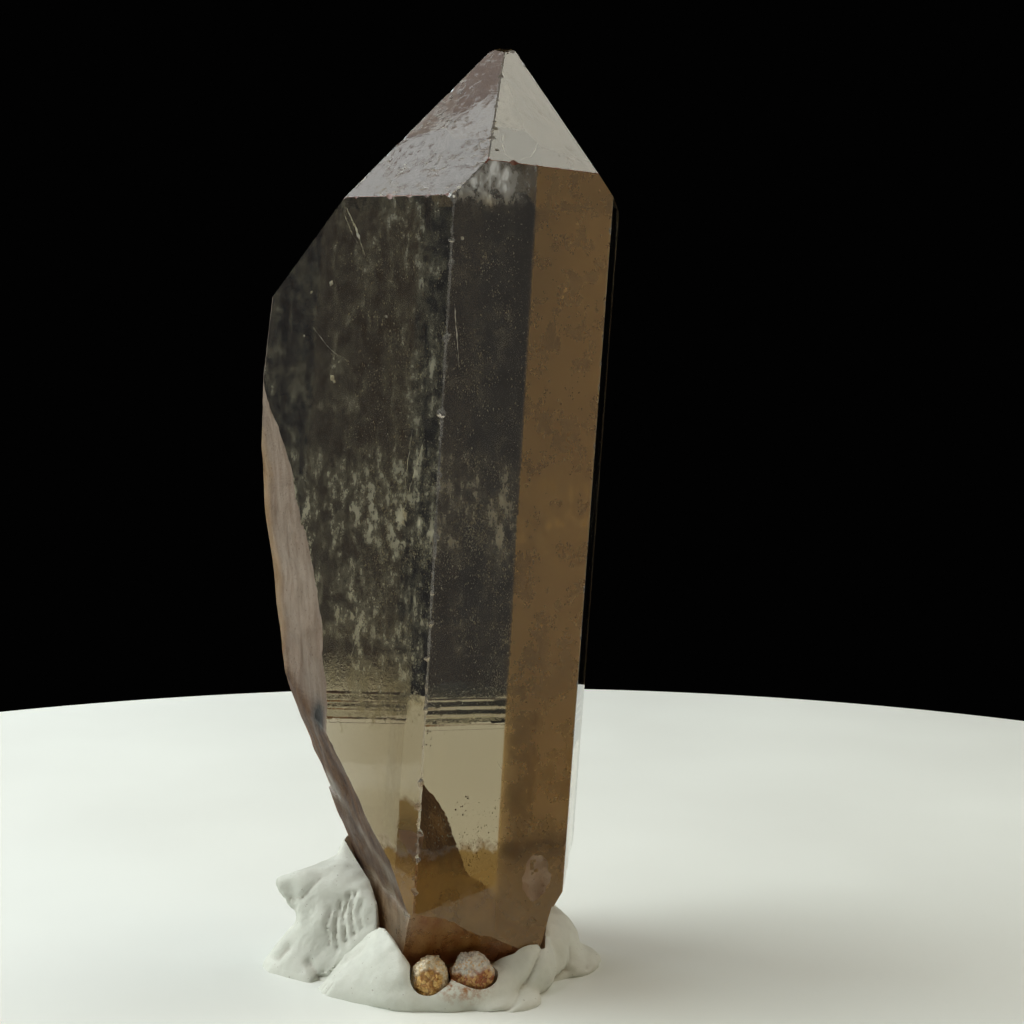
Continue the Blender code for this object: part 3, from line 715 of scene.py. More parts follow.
def sheet_cutter(name, at, outward, up, size, cells, height, depth):
    """A slab whose inner side is a relief, height(u, v), which cuts what passes beyond it."""
    bm = bmesh.new()
    bmesh.ops.create_grid(bm, x_segments=cells[0], y_segments=cells[1], size=0.5)
    for vert in bm.verts:
        u = vert.co.x * size[0]
        v = vert.co.y * size[1]
        vert.co = Vector((u, v, height(u, v)))
    outer = bmesh.ops.extrude_face_region(bm, geom=bm.faces[:])
    for part in outer["geom"]:
        if isinstance(part, bmesh.types.BMVert):
            part.co.z = depth
    bmesh.ops.recalc_face_normals(bm, faces=bm.faces)
    across = up.cross(outward).normalized()
    turn = Matrix((across, outward.cross(across), outward)).transposed()
    bmesh.ops.transform(bm, matrix=Matrix.Translation(at) @ turn.to_4x4(), verts=bm.verts)
    return object_from(name, bm)


def break_cutter(name, seed):
    """The slab that breaks the crystal along one rough sheet, with a shallow hollow in its middle."""
    size, hollow, rough = BREAKS[name][3:]

    def relief(u, v):
        return -hollow * (1 - (v / (size[1] / 2)) ** 2) + rough * layered(BREAK_NOISE, (u, v, seed))

    outward, at = break_plane(name)
    cells = [round(side / BREAK_CELL) for side in size]
    return sheet_cutter(name, at, outward, Vector((0, 0, 1)), size, cells, relief, BREAK_DEPTH)


def chip_cutter(name, centre, radii, turn):
    """A stretched sphere that scoops a shell-shaped chip out of an edge."""
    bm = bmesh.new()
    place = Matrix.LocRotScale(Vector(centre), Euler((0, 0, math.radians(turn))), Vector(radii))
    bmesh.ops.create_uvsphere(bm, u_segments=48, v_segments=30, radius=1.0, matrix=place)
    for vert in bm.verts:
        outward = (vert.co - Vector(centre)).normalized()
        vert.co += outward * (CHIP_ROUGHNESS * radii[0] * layered(CHIP_NOISE, vert.co))
    return object_from(name, bm)


def cut_with(obj, cutters):
    """Takes the cutters' shapes out of the object for good, and removes them."""
    for cutter in cutters:
        cut = obj.modifiers.new(cutter.name, "BOOLEAN")
        cut.operation = "DIFFERENCE"
        cut.solver = "MANIFOLD"
        cut.object = cutter
    settle(obj)
    for cutter in cutters:
        bpy.data.objects.remove(cutter)


def settle(obj):
    """Applies the object's modifiers."""
    bpy.context.view_layer.update()
    graph = bpy.context.evaluated_depsgraph_get()
    made = bpy.data.meshes.new_from_object(obj.evaluated_get(graph))
    old = obj.data
    obj.modifiers.clear()
    obj.data = made
    bpy.data.meshes.remove(old)


def dress(obj, material):
    """Gives the whole object one material."""
    obj.data.materials.clear()
    obj.data.materials.append(material)


def crystal_planes():
    """Every flat face of the crystal by name: its outward normal and a point on it."""
    planes = {}
    for group, faces in (("prism", PRISM_FACES), ("point", POINT_FACES)):
        for name in faces:
            planes[group + "_" + name] = face_plane(faces, name)
    for count, (azimuth, tilt, at) in enumerate(TIP_FACETS):
        planes["tip_" + str(count)] = (direction(azimuth, tilt), Vector(at))
    return planes


def surface_name(centre, normal, planes):
    """Which flat face, chip or rough break a mesh face lies on, or edge for a worn edge."""
    for name, (outward, at) in planes.items():
        if outward.dot(normal) > FLAT_FACING and abs((centre - at).dot(outward)) < FLAT_TOLERANCE:
            stepped = name == "prism_back_left" and GROWTH_PROFILE[-1][0] < centre.z < GROWTH_PROFILE[0][0]
            return "growth_steps" if stepped else name
    for name, (middle, radii, turn) in CHIPS.items():
        off = Matrix.Rotation(math.radians(-turn), 3, "Z") @ (centre - Vector(middle))
        if math.hypot(off.x / radii[0], off.y / radii[1], off.z / radii[2]) < CHIP_REACH:
            return name if name in FINISH else "edge"
    for pair in STAINED_EDGES:
        if all(abs((centre - planes[name][1]).dot(planes[name][0])) < STAINED_REACH for name in pair):
            return "shoulder_stain"
    best = ("edge", BREAK_TOLERANCE)
    for name in BREAKS:
        outward, at = break_plane(name)
        away = abs((centre - at).dot(outward))
        if away < best[1] and outward.dot(normal) > BREAK_FACING:
            best = (name, away)
    return best[0]


def blended_corners(mesh, values, broken):
    """A value for each face corner: the face's own, blended between the faces that are broken."""
    values = values.reshape(len(mesh.polygons), -1)
    sizes = np.empty(len(mesh.polygons), dtype=int)
    mesh.polygons.foreach_get("loop_total", sizes)
    vertex_of = np.empty(len(mesh.loops), dtype=int)
    mesh.loops.foreach_get("vertex_index", vertex_of)
    face_of = np.repeat(np.arange(len(sizes)), sizes)
    inside = broken[face_of]
    corners = values[face_of]
    for _ in range(BLEND_ROUNDS):
        for column in corners.T:
            total = np.bincount(vertex_of[inside], column[inside], len(mesh.vertices))
            count = np.bincount(vertex_of[inside], minlength=len(mesh.vertices))
            around = (total / np.maximum(count, 1))[vertex_of]
            mean = np.bincount(face_of, around, len(sizes)) / sizes
            column[inside] = (0.5 * around + 0.5 * mean[face_of])[inside]
    return corners


def mark_finish(crystal):
    """Stores each face's frost, tint, haze, stain and pits, and keeps the flat faces flat."""
    mesh = crystal.data
    planes = crystal_planes()
    shade(crystal, CRYSTAL_CREASE)
    names = [surface_name(face.center / MM, face.normal, planes) for face in mesh.polygons]
    for face, name in zip(mesh.polygons, names):
        face.use_smooth = name not in planes
    finishes = [FINISH.get(name, CLEAR_FINISH) for name in names]
    hazes = [HAZE.get(name, (0.0, finish[1])) for name, finish in zip(names, finishes)]
    numbers = {
        "frost": [amount for amount, _ in finishes],
        "haze": [amount for amount, _ in hazes],
        "stain": [STAIN.get(name, 0.0) for name in names],
        "pits": [PITS.get(name, 0.0) for name in names],
    }
    numbers["tint"] = [(*colour, 1.0) for _, colour in hazes]
    broken = np.array([name in BREAKS or name in CHIPS or name == "edge" for name in names])
    for key, values in numbers.items():
        corners = blended_corners(mesh, np.array(values, dtype=float), broken)
        kind, field = ("FLOAT_COLOR", "color") if key == "tint" else ("FLOAT", "value")
        mesh.attributes.new(key, kind, "CORNER").data.foreach_set(field, corners.ravel())


def crossing(planes, names):
    """The corner point where three planes meet."""
    normals = np.array([planes[name][0] for name in names])
    reach = np.array([planes[name][0].dot(planes[name][1]) for name in names])
    return Vector(np.linalg.solve(normals, reach))


def all_planes():
    """The flat faces, the mean planes of the breaks, and the foot."""
    planes = crystal_planes()
    planes.update({name: break_plane(name) for name in BREAKS})
    planes["foot"] = (Vector((0, 0, -1)), Vector((0, 0, FOOT_HEIGHT)))
    return planes


def wear_cutter(name, face_a, face_b, end_a, end_b, width, nicks, seed):
    """The slab that wears an edge into a narrow uneven strip with small nicks."""
    planes = all_planes()
    start = crossing(planes, (face_a, face_b, end_a))
    end = crossing(planes, (face_a, face_b, end_b))
    outward = (planes[face_a][0] + planes[face_b][0]).normalized()
    length = (end - start).length + WEAR_MARGIN
    steepness = math.tan(planes[face_a][0].angle(planes[face_b][0]) / 2)
    depth = width / 2 * steepness

    def relief(u, v):
        place = (u, v, seed)
        return -depth * (1 + layered(WEAR_NOISE, place)) - nicks * layered(WEAR_BITES, place)

    cells = (round(WEAR_WIDTH / WEAR_CELL), round(length / WEAR_CELL))
    return sheet_cutter(name, (start + end) / 2, outward, (end - start).normalized(),
                        (WEAR_WIDTH, length), cells, relief, WEAR_DEPTH)


def growth_depth(height, u):
    """How deep the growth steps lie at a height, at a distance along the face."""
    place = height + layered(GROWTH_NOISE, (u, 0, 0))
    for (above, top), (below, bottom) in zip(GROWTH_PROFILE, GROWTH_PROFILE[1:]):
        if above >= place >= below:
            return top + (bottom - top) * (above - place) / (above - below)
    return GROWTH_PROFILE[0][1]


def growth_cutter():
    """The slab that leaves growth steps across the back left face."""
    outward, at = crystal_planes()["prism_back_left"]
    top = GROWTH_PROFILE[0][0]
    bottom = GROWTH_PROFILE[-1][0]
    middle = (top + bottom) / 2
    up = AXES.col[2]
    centre = at + up * ((middle - at.z) / up.z)
    height = top - bottom + GROWTH_MARGIN

    def relief(u, v):
        return -growth_depth(middle + v, u)

    cells = (round(GROWTH_WIDTH / GROWTH_CELL_ACROSS), round(height / GROWTH_CELL))
    return sheet_cutter("growth_steps", centre, outward, up, (GROWTH_WIDTH, height), cells, relief,
                        GROWTH_DEPTH)


def make_crystal():
    """The crystal with its flat faces, rough breaks, growth steps, worn edges and chips."""
    crystal = object_from("smoky_quartz_point", crystal_body())
    cutters = [break_cutter(name, seed * BREAK_SEED_STEP) for seed, name in enumerate(BREAKS)]
    cutters += [growth_cutter()]
    cutters += [wear_cutter(name, *spec) for name, spec in WORN_EDGES.items()]
    cutters += [chip_cutter(name, *spec) for name, spec in CHIPS.items()]
    cut_with(crystal, cutters)
    mark_finish(crystal)
    dress(crystal, quartz_material())
    return crystal


def behind_face(face, x, z, depth):
    """The point at x and z that lies a given depth behind a flat face."""
    outward, at = crystal_planes()[face]
    inner = at - outward * depth
    y = inner.y - (outward.x * (x - inner.x) + outward.z * (z - inner.z)) / outward.y
    return Vector((x, y, z))


def add_speck(bm, centre, radius, stretch, turn):
    """A tiny eight-sided speck, stretched along the crystal."""
    shape = Matrix.Diagonal((radius, radius, radius * stretch, 1))
    place = Matrix.Translation(centre) @ turn.to_matrix().to_4x4() @ shape
    corners = [place @ Vector(c) for c in SPECK_CORNERS]
    verts = [bm.verts.new(c) for c in corners]
    for a, b, c in SPECK_FACES:
        bm.faces.new((verts[a], verts[b], verts[c]))


def random_radius(draw, radii, fineness):
    """A radius between two, small ones more often the greater the fineness."""
    return radii[0] + (radii[1] - radii[0]) * draw.random() ** fineness


def random_turn(draw, most):
    """A turn of up to so many radians about each axis."""
    return Euler([draw.uniform(-most, most) for _ in range(3)])


def make_veils():
    """The specks of the clouds and veils in streaks, clumps and wisps, as one mesh."""
    bm = bmesh.new()
    walls = all_planes().values()
    for face, across, along, reach, count, radii, seed in VEILS.values():
        draw = random.Random(seed)
        made = 0
        while made < count:
            x = draw.uniform(*across)
            z = draw.uniform(*along)
            edge = min(z - along[0], along[1] - z) / (along[1] - along[0])
            density = max(0.0, VEIL_LEAST + layered(VEIL_NOISE, (x, z, seed)))
            if draw.random() > density * min(1.0, edge * VEIL_EDGE):
                continue
            made += 1
            depth = VEIL_NEAREST + reach * draw.random() ** VEIL_CROWDING
            centre = behind_face(face, x, z, depth)
            if any((centre - at).dot(outward) > -VEIL_MARGIN for outward, at in walls):
                continue
            radius = random_radius(draw, radii, VEIL_FINENESS)
            turn = random_turn(draw, VEIL_TURN)
            add_speck(bm, centre, radius, draw.uniform(*VEIL_STRETCH), turn)
    return object_from("speck_veils", bm)


def make_flecks():
    """The larger bright flecks near the surface."""
    bm = bmesh.new()
    draw = random.Random(5)
    for face, flecks in FLECKS.items():
        for x, z, depth, radius, stretch in flecks:
            turn = random_turn(draw, FLECK_TURN)
            size = radius * FLECK_SCALE
            add_speck(bm, behind_face(face, x, z, depth + size), size, stretch, turn)
    return object_from("bright_flecks", bm)


def make_flakes():
    """Thin brown flakes inside the crystal."""
    bm = bmesh.new()
    for face, outline, depth, thickness in FLAKES.values():
        near = [bm.verts.new(behind_face(face, x, z, depth)) for x, z in outline]
        far = [bm.verts.new(behind_face(face, x, z, depth + thickness)) for x, z in outline]
        bm.faces.new(near)
        bm.faces.new(reversed(far))
        for i in range(len(outline)):
            j = (i + 1) % len(outline)
            bm.faces.new((near[i], far[i], far[j], near[j]))
    bmesh.ops.recalc_face_normals(bm, faces=bm.faces)
    return object_from("brown_flakes", bm)


def make_grit():
    """Dark grit under the faces."""
    bm = bmesh.new()
    draw = random.Random(23)
    for face, (x, z), (half_width, half_height), count, radii in GRIT:
        walls = [wall for name, wall in all_planes().items() if name != face]
        for _ in range(count):
            spot = (x + half_width * draw.uniform(-1, 1), z + half_height * draw.uniform(-1, 1))
            radius = random_radius(draw, radii, GRIT_FINENESS)
            turn = random_turn(draw, GRIT_TURN)
            depth = GRIT_NEAREST + radius * GRIT_CLEARANCE + GRIT_REACH * draw.random()
            centre = behind_face(face, *spot, depth)
            stretch = draw.uniform(*GRIT_STRETCH)
            if all((centre - at).dot(outward) < -GRIT_MARGIN for outward, at in walls):
                add_speck(bm, centre, radius, stretch, turn)
    return object_from("dark_grit", bm)


def make_hairlines():
    """Healed cracks, as thin ribbons of three-sided section."""
    bm = bmesh.new()
    for seed, (face, line, depth, width) in enumerate(HAIRLINES.values()):
        points = []
        for (x0, z0), (x1, z1) in zip(line, line[1:]):
            steps = max(2, round(math.hypot(x1 - x0, z1 - z0) / CRACK_STEP))
            points += [(x0 + (x1 - x0) * i / steps, z0 + (z1 - z0) * i / steps) for i in range(steps)]
        points.append(line[-1])
        rings = []
        for count, (x, z) in enumerate(points):
            part = count / (len(points) - 1)
            swell = math.sin(math.pi * min(1.0, part * CRACK_TAPER + CRACK_START))
            size = width * (CRACK_ENDS + (1 - CRACK_ENDS) * swell)
            size *= layered(CRACK_WIDTH_NOISE, (count, seed, 0))
            wander = layered(CRACK_PATH_NOISE, (count, seed, 0))
            corners = ((-size / 2, 0.0), (size / 2, 0.0), (0.0, CRACK_THICKNESS * size))
            rings.append([bm.verts.new(behind_face(face, x + wander + dx, z, depth + deep))
                          for dx, deep in corners])
        for ring, after in zip(rings, rings[1:]):
            for i in range(3):
                j = (i + 1) % 3
                bm.faces.new((ring[i], ring[j], after[j], after[i]))
        bm.faces.new(reversed(rings[0]))
        bm.faces.new(rings[-1])
    bmesh.ops.recalc_face_normals(bm, faces=bm.faces)
    return object_from("healed_cracks", bm)


def ellipsoid(bm, centre, radii, turn):
    """Adds a stretched sphere to a bmesh; turn is Euler angles in degrees."""
    angles = Euler([math.radians(a) for a in turn])
    place = Matrix.LocRotScale(Vector(centre), angles, Vector(radii))
    bmesh.ops.create_uvsphere(bm, u_segments=32, v_segments=20, radius=1.0, matrix=place)


def add_block(bm, points):
    """Adds the flat-sided block that has these corners to a bmesh."""
    corners = [bm.verts.new(point) for point in points]
    made = bmesh.ops.convex_hull(bm, input=corners)
    spare = [part for part in made["geom_interior"] + made["geom_unused"]
             if isinstance(part, bmesh.types.BMVert)]
    bmesh.ops.delete(bm, geom=list(set(spare)), context="VERTS")


def socket_cutter(name, face_gap, break_gap, breaks):
    """The crystal's foot, a gap larger all round, which presses its own socket in the putty."""
    bm = crystal_body(face_gap)
    for outward, at in map(break_plane, breaks):
        cut_away(bm, at + outward * break_gap, outward)
    return object_from(name, bm)


def grain_socket(name, centre, radii):
    """A hollow in the putty that clears a grain."""
    bm = bmesh.new()
    grown = [r * (1 + GRAIN_LUMPS * GRAIN_SWELLING) + GRAIN_GAP for r in radii]
    ellipsoid(bm, centre, grown, (0, 0, 0))
    return object_from(name + "_socket", bm)


def underside_cutter():
    """A block below the surface that the putty is pressed on, which leaves its underside flat."""
    bm = bmesh.new()
    bmesh.ops.create_cube(bm, size=UNDERSIDE_SIZE)
    bmesh.ops.translate(bm, verts=bm.verts, vec=(0, 0, -UNDERSIDE_SIZE / 2))
    return object_from("underside", bm)


def distance_to_line(points, line):
    """Distance of each (x, z) point from a line of (x, z) points."""
    best = np.full(len(points), np.inf)
    for start, end in zip(np.array(line[:-1]), np.array(line[1:])):
        along = end - start
        part = np.clip((points - start) @ along / (along @ along), 0, 1)
        best = np.minimum(best, np.linalg.norm(points - start - part[:, None] * along, axis=1))
    return best


def press_marks(putty):
    """Presses creases, folds and finger marks into the putty's front, and kneads its surface."""
    mesh = putty.data
    count = len(mesh.vertices)
    places = np.empty(count * 3)
    normals = np.empty(count * 3)
    mesh.vertices.foreach_get("co", places)
    mesh.vertex_normals.foreach_get("vector", normals)
    places = places.reshape(-1, 3) / MM
    normals = normals.reshape(-1, 3)
    push = np.zeros(count)
    crease = np.zeros(count)
    front = np.clip(FRONT_FACING - normals[:, 1], 0, 1)
    flat = places[:, [0, 2]]
    for line, width, depth, nearest in PUTTY_CREASES.values():
        near = (places[:, 1] < nearest) * front
        away = distance_to_line(flat, line) / width
        push -= depth * (near * np.exp(-away ** 2))
        # The mask for the painted shade in the creases
        crease = np.maximum(crease, near * np.exp(-(away / CREASE_SHADE_WIDTH) ** 2))
    for centre, radii, spacing, depth, reach in FINGER_MARKS:
        away = flat - np.array(centre)
        ring = np.hypot(away[:, 0] / radii[0], away[:, 1] / radii[1])
        inside = np.clip((1 - ring) * MARK_EDGE, 0, 1) * (places[:, 1] < reach) * front
        wave = np.cos(2 * math.pi * np.hypot(away[:, 0], away[:, 1] * MARK_ARCH) / spacing)
        push += depth * inside * (wave - 1) / 2
    push += [layered(KNEADING_NOISE, place) for place in places.tolist()]
    places += normals * push[:, None]
    mesh.vertices.foreach_set("co", (places * MM).ravel())
    mesh.attributes.new("crease", "FLOAT", "POINT").data.foreach_set("value", crease)
    mesh.update()


def make_putty():
    """The lump of putty: lobes grown into one, marked by fingers, with the crystal's socket in it."""
    bm = bmesh.new()
    for centre, radii, turn in PUTTY_LOBES.values():
        ellipsoid(bm, centre, radii, turn)
    for corners in PUTTY_FOLDS.values():
        add_block(bm, corners)
    putty = object_from("pressed_putty", bm)
    grown = putty.modifiers.new("one_lump", "REMESH")
    grown.mode = "VOXEL"
    grown.voxel_size = PUTTY_VOXEL * MM
    rounded = putty.modifiers.new("rounded", "SMOOTH")
    rounded.iterations = PUTTY_SMOOTH_STEPS
    settle(putty)
    press_marks(putty)
    cutters = [underside_cutter()]
    cutters += [socket_cutter(name, *spec) for name, spec in SOCKETS.items()]
    cutters += [grain_socket(name, *spec[:2]) for name, spec in GRAINS.items()]
    cut_with(putty, cutters)
    shade(putty, PUTTY_CREASE)
    dress(putty, clay_material())
    return putty


def make_grain(name, centre, radii, seed):
    """A mineral grain of lumps, facets, crumbs and sugary points, flat where it meets the crystal."""
    bm = bmesh.new()
    bmesh.ops.create_icosphere(bm, subdivisions=GRAIN_ROUNDS, radius=1.0)
    for vert in bm.verts:
        lump = noise.noise(vert.co * LUMP_SCALE + Vector((seed, 0, 0)))
        facets = noise.cell(vert.co * FACET_SCALE + Vector((0, seed, 0))) - 0.5
        crumbs = noise.voronoi(vert.co * CRUMB_SCALE + Vector((0, 0, seed)))[0][0] - CRUMB_MIDDLE
        sugar = noise.noise(vert.co * SUGAR_SCALE + Vector((seed, 5.0, 0)))
        uneven = lump + FACET_SHARE * facets - CRUMB_SHARE * crumbs + SUGAR_SHARE * sugar
        vert.co *= 1 + GRAIN_LUMPS * uneven
    bmesh.ops.scale(bm, verts=bm.verts, vec=radii)
    bmesh.ops.translate(bm, verts=bm.verts, vec=centre)
    grain = object_from(name, bm)
    cut_with(grain, [socket_cutter("toe_socket", *SOCKETS["toe_socket"])])
    shade(grain, GRAIN_CREASE)
    return grain


class Wire:
    """A shader node's output. Arithmetic on it adds the Math nodes that do the same."""

    def __init__(self, socket):
        self.socket = socket
        self.tree = socket.id_data

    def math(self, operation, first, second):
        """A Math node of two wires or numbers."""
        return add_node(self.tree, "Math", 0, {0: first, 1: second}, operation=operation)

    def __add__(self, other):
        return self.math("ADD", self, other)

    def __sub__(self, other):
        return self.math("SUBTRACT", self, other)

    def __rsub__(self, other):
        return self.math("SUBTRACT", other, self)

    def __mul__(self, other):
        return self.math("MULTIPLY", self, other)

    def __lt__(self, other):
        return self.math("LESS_THAN", self, other)

    def at_least(self, other):
        """The larger of the two."""
        return self.math("MAXIMUM", self, other)

    def spread(self, low, high, to_low=0.0, to_high=1.0):
        """Maps low..high to to_low..to_high, and stops at both ends."""
        inputs = {"Value": self, "From Min": low, "From Max": high, "To Min": to_low, "To Max": to_high}
        return add_node(self.tree, "MapRange", "Result", inputs, clamp=True)

    def level(self, name):
        """Maps it by the level of that name."""
        return self.spread(*LEVELS[name])

    def band(self, name):
        """1 inside the band of that name, 0 outside, with soft borders."""
        rise, top, fall, end = BANDS[name]
        return self.spread(rise, top) * self.spread(fall, end, 1.0, 0.0)

    def deeper(self, power):
        """A deeper shade of a colour: each channel raised to a power."""
        return add_node(self.tree, "Gamma", "Color", {"Color": self, "Gamma": power})


def feed(socket, value):
    """Links an output into a socket, or sets the socket to a plain value or colour."""
    if isinstance(value, Wire):
        value.tree.links.new(value.socket, socket)
    else:
        socket.default_value = (*value, 1) if socket.type == "RGBA" else value


def add_node(tree, kind, output, inputs, **settings):
    """A new shader node with its settings and inputs, as the wire of one of its outputs."""
    made = tree.nodes.new("ShaderNode" + kind)
    for name, value in settings.items():
        setattr(made, name, value)
    for name, value in inputs.items():
        feed(made.inputs[name], value)
    return Wire(made.outputs[output])


def new_material(name):
    """A new material, its shader's sockets, and the object's own coordinates in mm."""
    made = bpy.data.materials.new(name)
    made.use_nodes = True
    coords = add_node(made.node_tree, "TexCoord", "Object", {})
    place = add_node(coords.tree, "VectorMath", 0, {0: coords, "Scale": 1 / MM}, operation="SCALE")
    return made, made.node_tree.nodes["Principled BSDF"].inputs, place


def stretched(place, amounts):
    """Coordinates multiplied axis by axis."""
    return add_node(place.tree, "VectorMath", 0, {0: place, 1: amounts}, operation="MULTIPLY")


def axis_of(place, axis):
    """The X, Y or Z of a place."""
    return add_node(place.tree, "SeparateXYZ", axis, {0: place})


def distance_from(place, point):
    """Distance in mm from a point."""
    return add_node(place.tree, "VectorMath", "Value", {0: place, 1: point}, operation="DISTANCE")


def attribute_of(place, name, output="Fac"):
    """A mesh attribute, in the same node tree as the place."""
    return add_node(place.tree, "Attribute", output, {}, attribute_name=name)


def noise_of(place, name):
    """A noise texture, about 0 to 1."""
    scale, detail, roughness, *stretch = NOISES[name]
    for amounts in stretch:
        place = stretched(place, amounts)
    inputs = {"Vector": place, "Scale": scale, "Detail": detail, "Roughness": roughness}
    return add_node(place.tree, "TexNoise", "Fac", inputs)


def pattern_of(place, name):
    """A noise texture mapped by the level of the same name."""
    return noise_of(place, name).level(name)


def blend(amount, first, second):
    """A colour between two colours."""
    return add_node(amount.tree, "Mix", 2, {"Factor": amount, 6: first, 7: second}, data_type="RGBA")


def bump_of(height, name, below=None):
    """A bump, on top of the bump below where there is one."""
    depth, strength = BUMPS[name]
    inputs = {"Strength": strength, "Distance": depth * MM, "Height": height}
    if below:
        inputs["Normal"] = below
    return add_node(height.tree, "Bump", "Normal", inputs)


def stain_amount(place, mottle):
    """The iron stain to the right of a steep line."""
    edge = axis_of(place, "X") - axis_of(place, "Z") * STAIN_LEAN
    return edge.level("stain_edge") * mottle.level("stain_mottle")


def foot_amount(place):
    """The darker stain that has crept up from the foot."""
    clumps = noise_of(place, "foot_clumps")
    height = axis_of(place, "Z") + (clumps - 0.5) * FOOT_WANDER
    return height.level("foot_height") * clumps.level("foot_clumps")


def shoulder_cloud(place):
    """1 on the pale cloud at the top of the stained prism faces, and 0 away from it."""
    across = attribute_of(place, "stain") * axis_of(place, "X").band("haze_top")
    return across * axis_of(place, "Z").level("haze_top")


def haze_amount(place):
    """The clouds just under the clear faces: streaks, clumps, a dense band and a clear window."""
    clumps = pattern_of(place, "haze_clumps")
    pattern = pattern_of(place, "haze_streaks") * STREAK_SHARE + PLAIN_SHARE + clumps * CLUMP_SHARE
    pattern *= pattern_of(place, "haze_wisps") * pattern_of(place, "haze_patches")
    x = axis_of(place, "X")
    height = axis_of(place, "Z") + (clumps - 0.5) * HAZE_WANDER
    amount = height.level("haze_fade") * (height.band("haze_band") * BAND_HAZE + UPPER_HAZE)
    amount += x.band("haze_ridge") * RIDGE_HAZE * height.level("haze_ridge_foot")
    amount += height.band("haze_low") * x.level("haze_low_side")
    amount += shoulder_cloud(place) * HAZE_TOP_AMOUNT
    fog = (height.band("stain_fog") * FOG_HAZE).at_least(STAINED_HAZE)
    return pattern * (amount * x.level("haze_side").at_least(fog * STAINED_SHARE))


def quartz_material():
    """Clear smoky quartz by transmission, IOR and absorption, frosted and stained where it broke."""
    made, sockets, place = new_material("smoky_quartz")
    frost = attribute_of(place, "frost")
    tint = attribute_of(place, "tint", "Color")
    mottle = noise_of(place, "quartz_mottle")
    grain = noise_of(place, "quartz_grain")
    height = axis_of(place, "Z")
    broken = blend(pattern_of(place, "break_streaks"), tint, tint.deeper(STREAK_POWER))
    broken = blend(grain.level("break_specks"), broken, tint.deeper(SPECK_POWER))
    broken = blend(height.level("darker_below"), broken, broken.deeper(LOW_POWER))
    broken = blend((height + mottle * SOIL_WANDER).level("soil_height"), broken, SOIL_COLOUR)
    haze = attribute_of(place, "haze") * haze_amount(place)
    stain = attribute_of(place, "stain") * stain_amount(place, mottle)
    foot = attribute_of(place, "stain") * foot_amount(place)
    cloud = blend(shoulder_cloud(place), tint, HAZE_TOP_COLOUR)
    cloud = blend(haze.level("haze_colour"), WHITE, cloud)
    cloud = blend(stain.level("stain_colour"), cloud, STAIN_COLOUR)
    cloud = blend(foot.level("foot_colour"), cloud, FOOT_COLOUR)
    feed(sockets["Base Color"], blend(frost < LEAST_FROST, broken, cloud))
    dull = frost * mottle.level("frost_mottle")
    feed(sockets["Roughness"], dull * FROST_ROUGHNESS + (haze + stain) * HAZE_ROUGHNESS)
    opaque = dull * FROST_OPACITY + haze * HAZE_STRENGTH + stain * STAIN_STRENGTH
    feed(sockets["Transmission Weight"], 1.0 - opaque.at_least(foot * FOOT_STRENGTH))
    wavy = bump_of(noise_of(place, "waviness"), "waviness")
    pocks = pattern_of(place, "pocks") * pattern_of(place, "pock_patches") * attribute_of(place, "pits")
    feed(sockets["Normal"], bump_of(grain * frost, "break_grain", bump_of(pocks, "pocks", wavy)))
    sockets["IOR"].default_value = QUARTZ_IOR
    inputs = {"Color": SMOKE_COLOUR, "Density": SMOKE_DENSITY}
    smoke = add_node(place.tree, "VolumeAbsorption", "Volume", inputs)
    feed(place.tree.nodes["Material Output"].inputs["Volume"], smoke)
    return made


def clay_material():
    """White putty: greyish mottling, painted shade in the folds, a few dark crumbs and a kneaded skin."""
    made, sockets, place = new_material("putty")
    broad = noise_of(place, "clay_broad")
    fine = noise_of(place, "clay_fine")
    colour = blend(broad.level("clay_light"), CLAY_GREY, CLAY_LIGHT)
    colour = blend(fine.level("clay_grey"), colour, CLAY_GREY)
    # Painted shade in the creases, then the dark crumbs
    colour = blend(attribute_of(place, "crease").level("clay_crease_shade"), colour, CLAY_CRUMBS_AND_SHADE)
    colour = blend(pattern_of(place, "clay_crumbs"), colour, CLAY_CRUMBS_AND_SHADE)
    rust = distance_from(place, RUST_CENTRE).level("clay_rust_reach") * fine.level("clay_rust")
    feed(sockets["Base Color"], blend(rust, colour, CLAY_RUST))
    feed(sockets["Roughness"], broad.level("clay_roughness"))
    skin = bump_of(noise_of(place, "clay_skin"), "clay_skin", bump_of(fine, "kneading"))
    feed(sockets["Normal"], skin)
    return made


def cells_of(place, scale):
    """Random grey from 0 to 1 for each grain of a sugary crust, and the distance to its middle."""
    colour = add_node(place.tree, "TexVoronoi", "Color", {"Vector": place, "Scale": scale})
    middle = Wire(colour.socket.node.outputs["Distance"])
    return add_node(place.tree, "SeparateColor", 0, {0: colour}), middle


def crust_material(name, core, bright, rim, rim_amount):
    """Sugary grains of two colours, with a rim of a third where rim_amount(place) is 1."""
    made, sockets, place = new_material(name)
    value, middle = cells_of(place, CRUST_CELLS)
    small_value, small_middle = cells_of(place, SUGAR_CELLS)
    colour = blend(value.level("crust_bright"), core, bright)
    colour = blend(rim_amount(place), colour, rim)
    colour = blend(small_value.level("crust_sparkle"), colour, bright)
    colour = blend(middle.level("crust_gap"), colour, CRUST_GAP)
    feed(sockets["Base Color"], colour)
    feed(sockets["Roughness"], small_value.level("crust_roughness"))
    sugar = bump_of(1.0 - small_middle, "crust_sugar", bump_of(1.0 - middle, "crust_grains"))
    feed(sockets["Normal"], sugar)
    return made


def pale_rim(place):
    """The cream rim round the amber core, as seen from the front."""
    x, _, z = GRAINS["matrix_grain_pale"][0]
    away = distance_from(stretched(place, (1.0, 0.0, 1.0)), (x, 0.0, z))
    return (away + noise_of(place, "pale_rim") * RIM_WANDER).level("pale_rim")


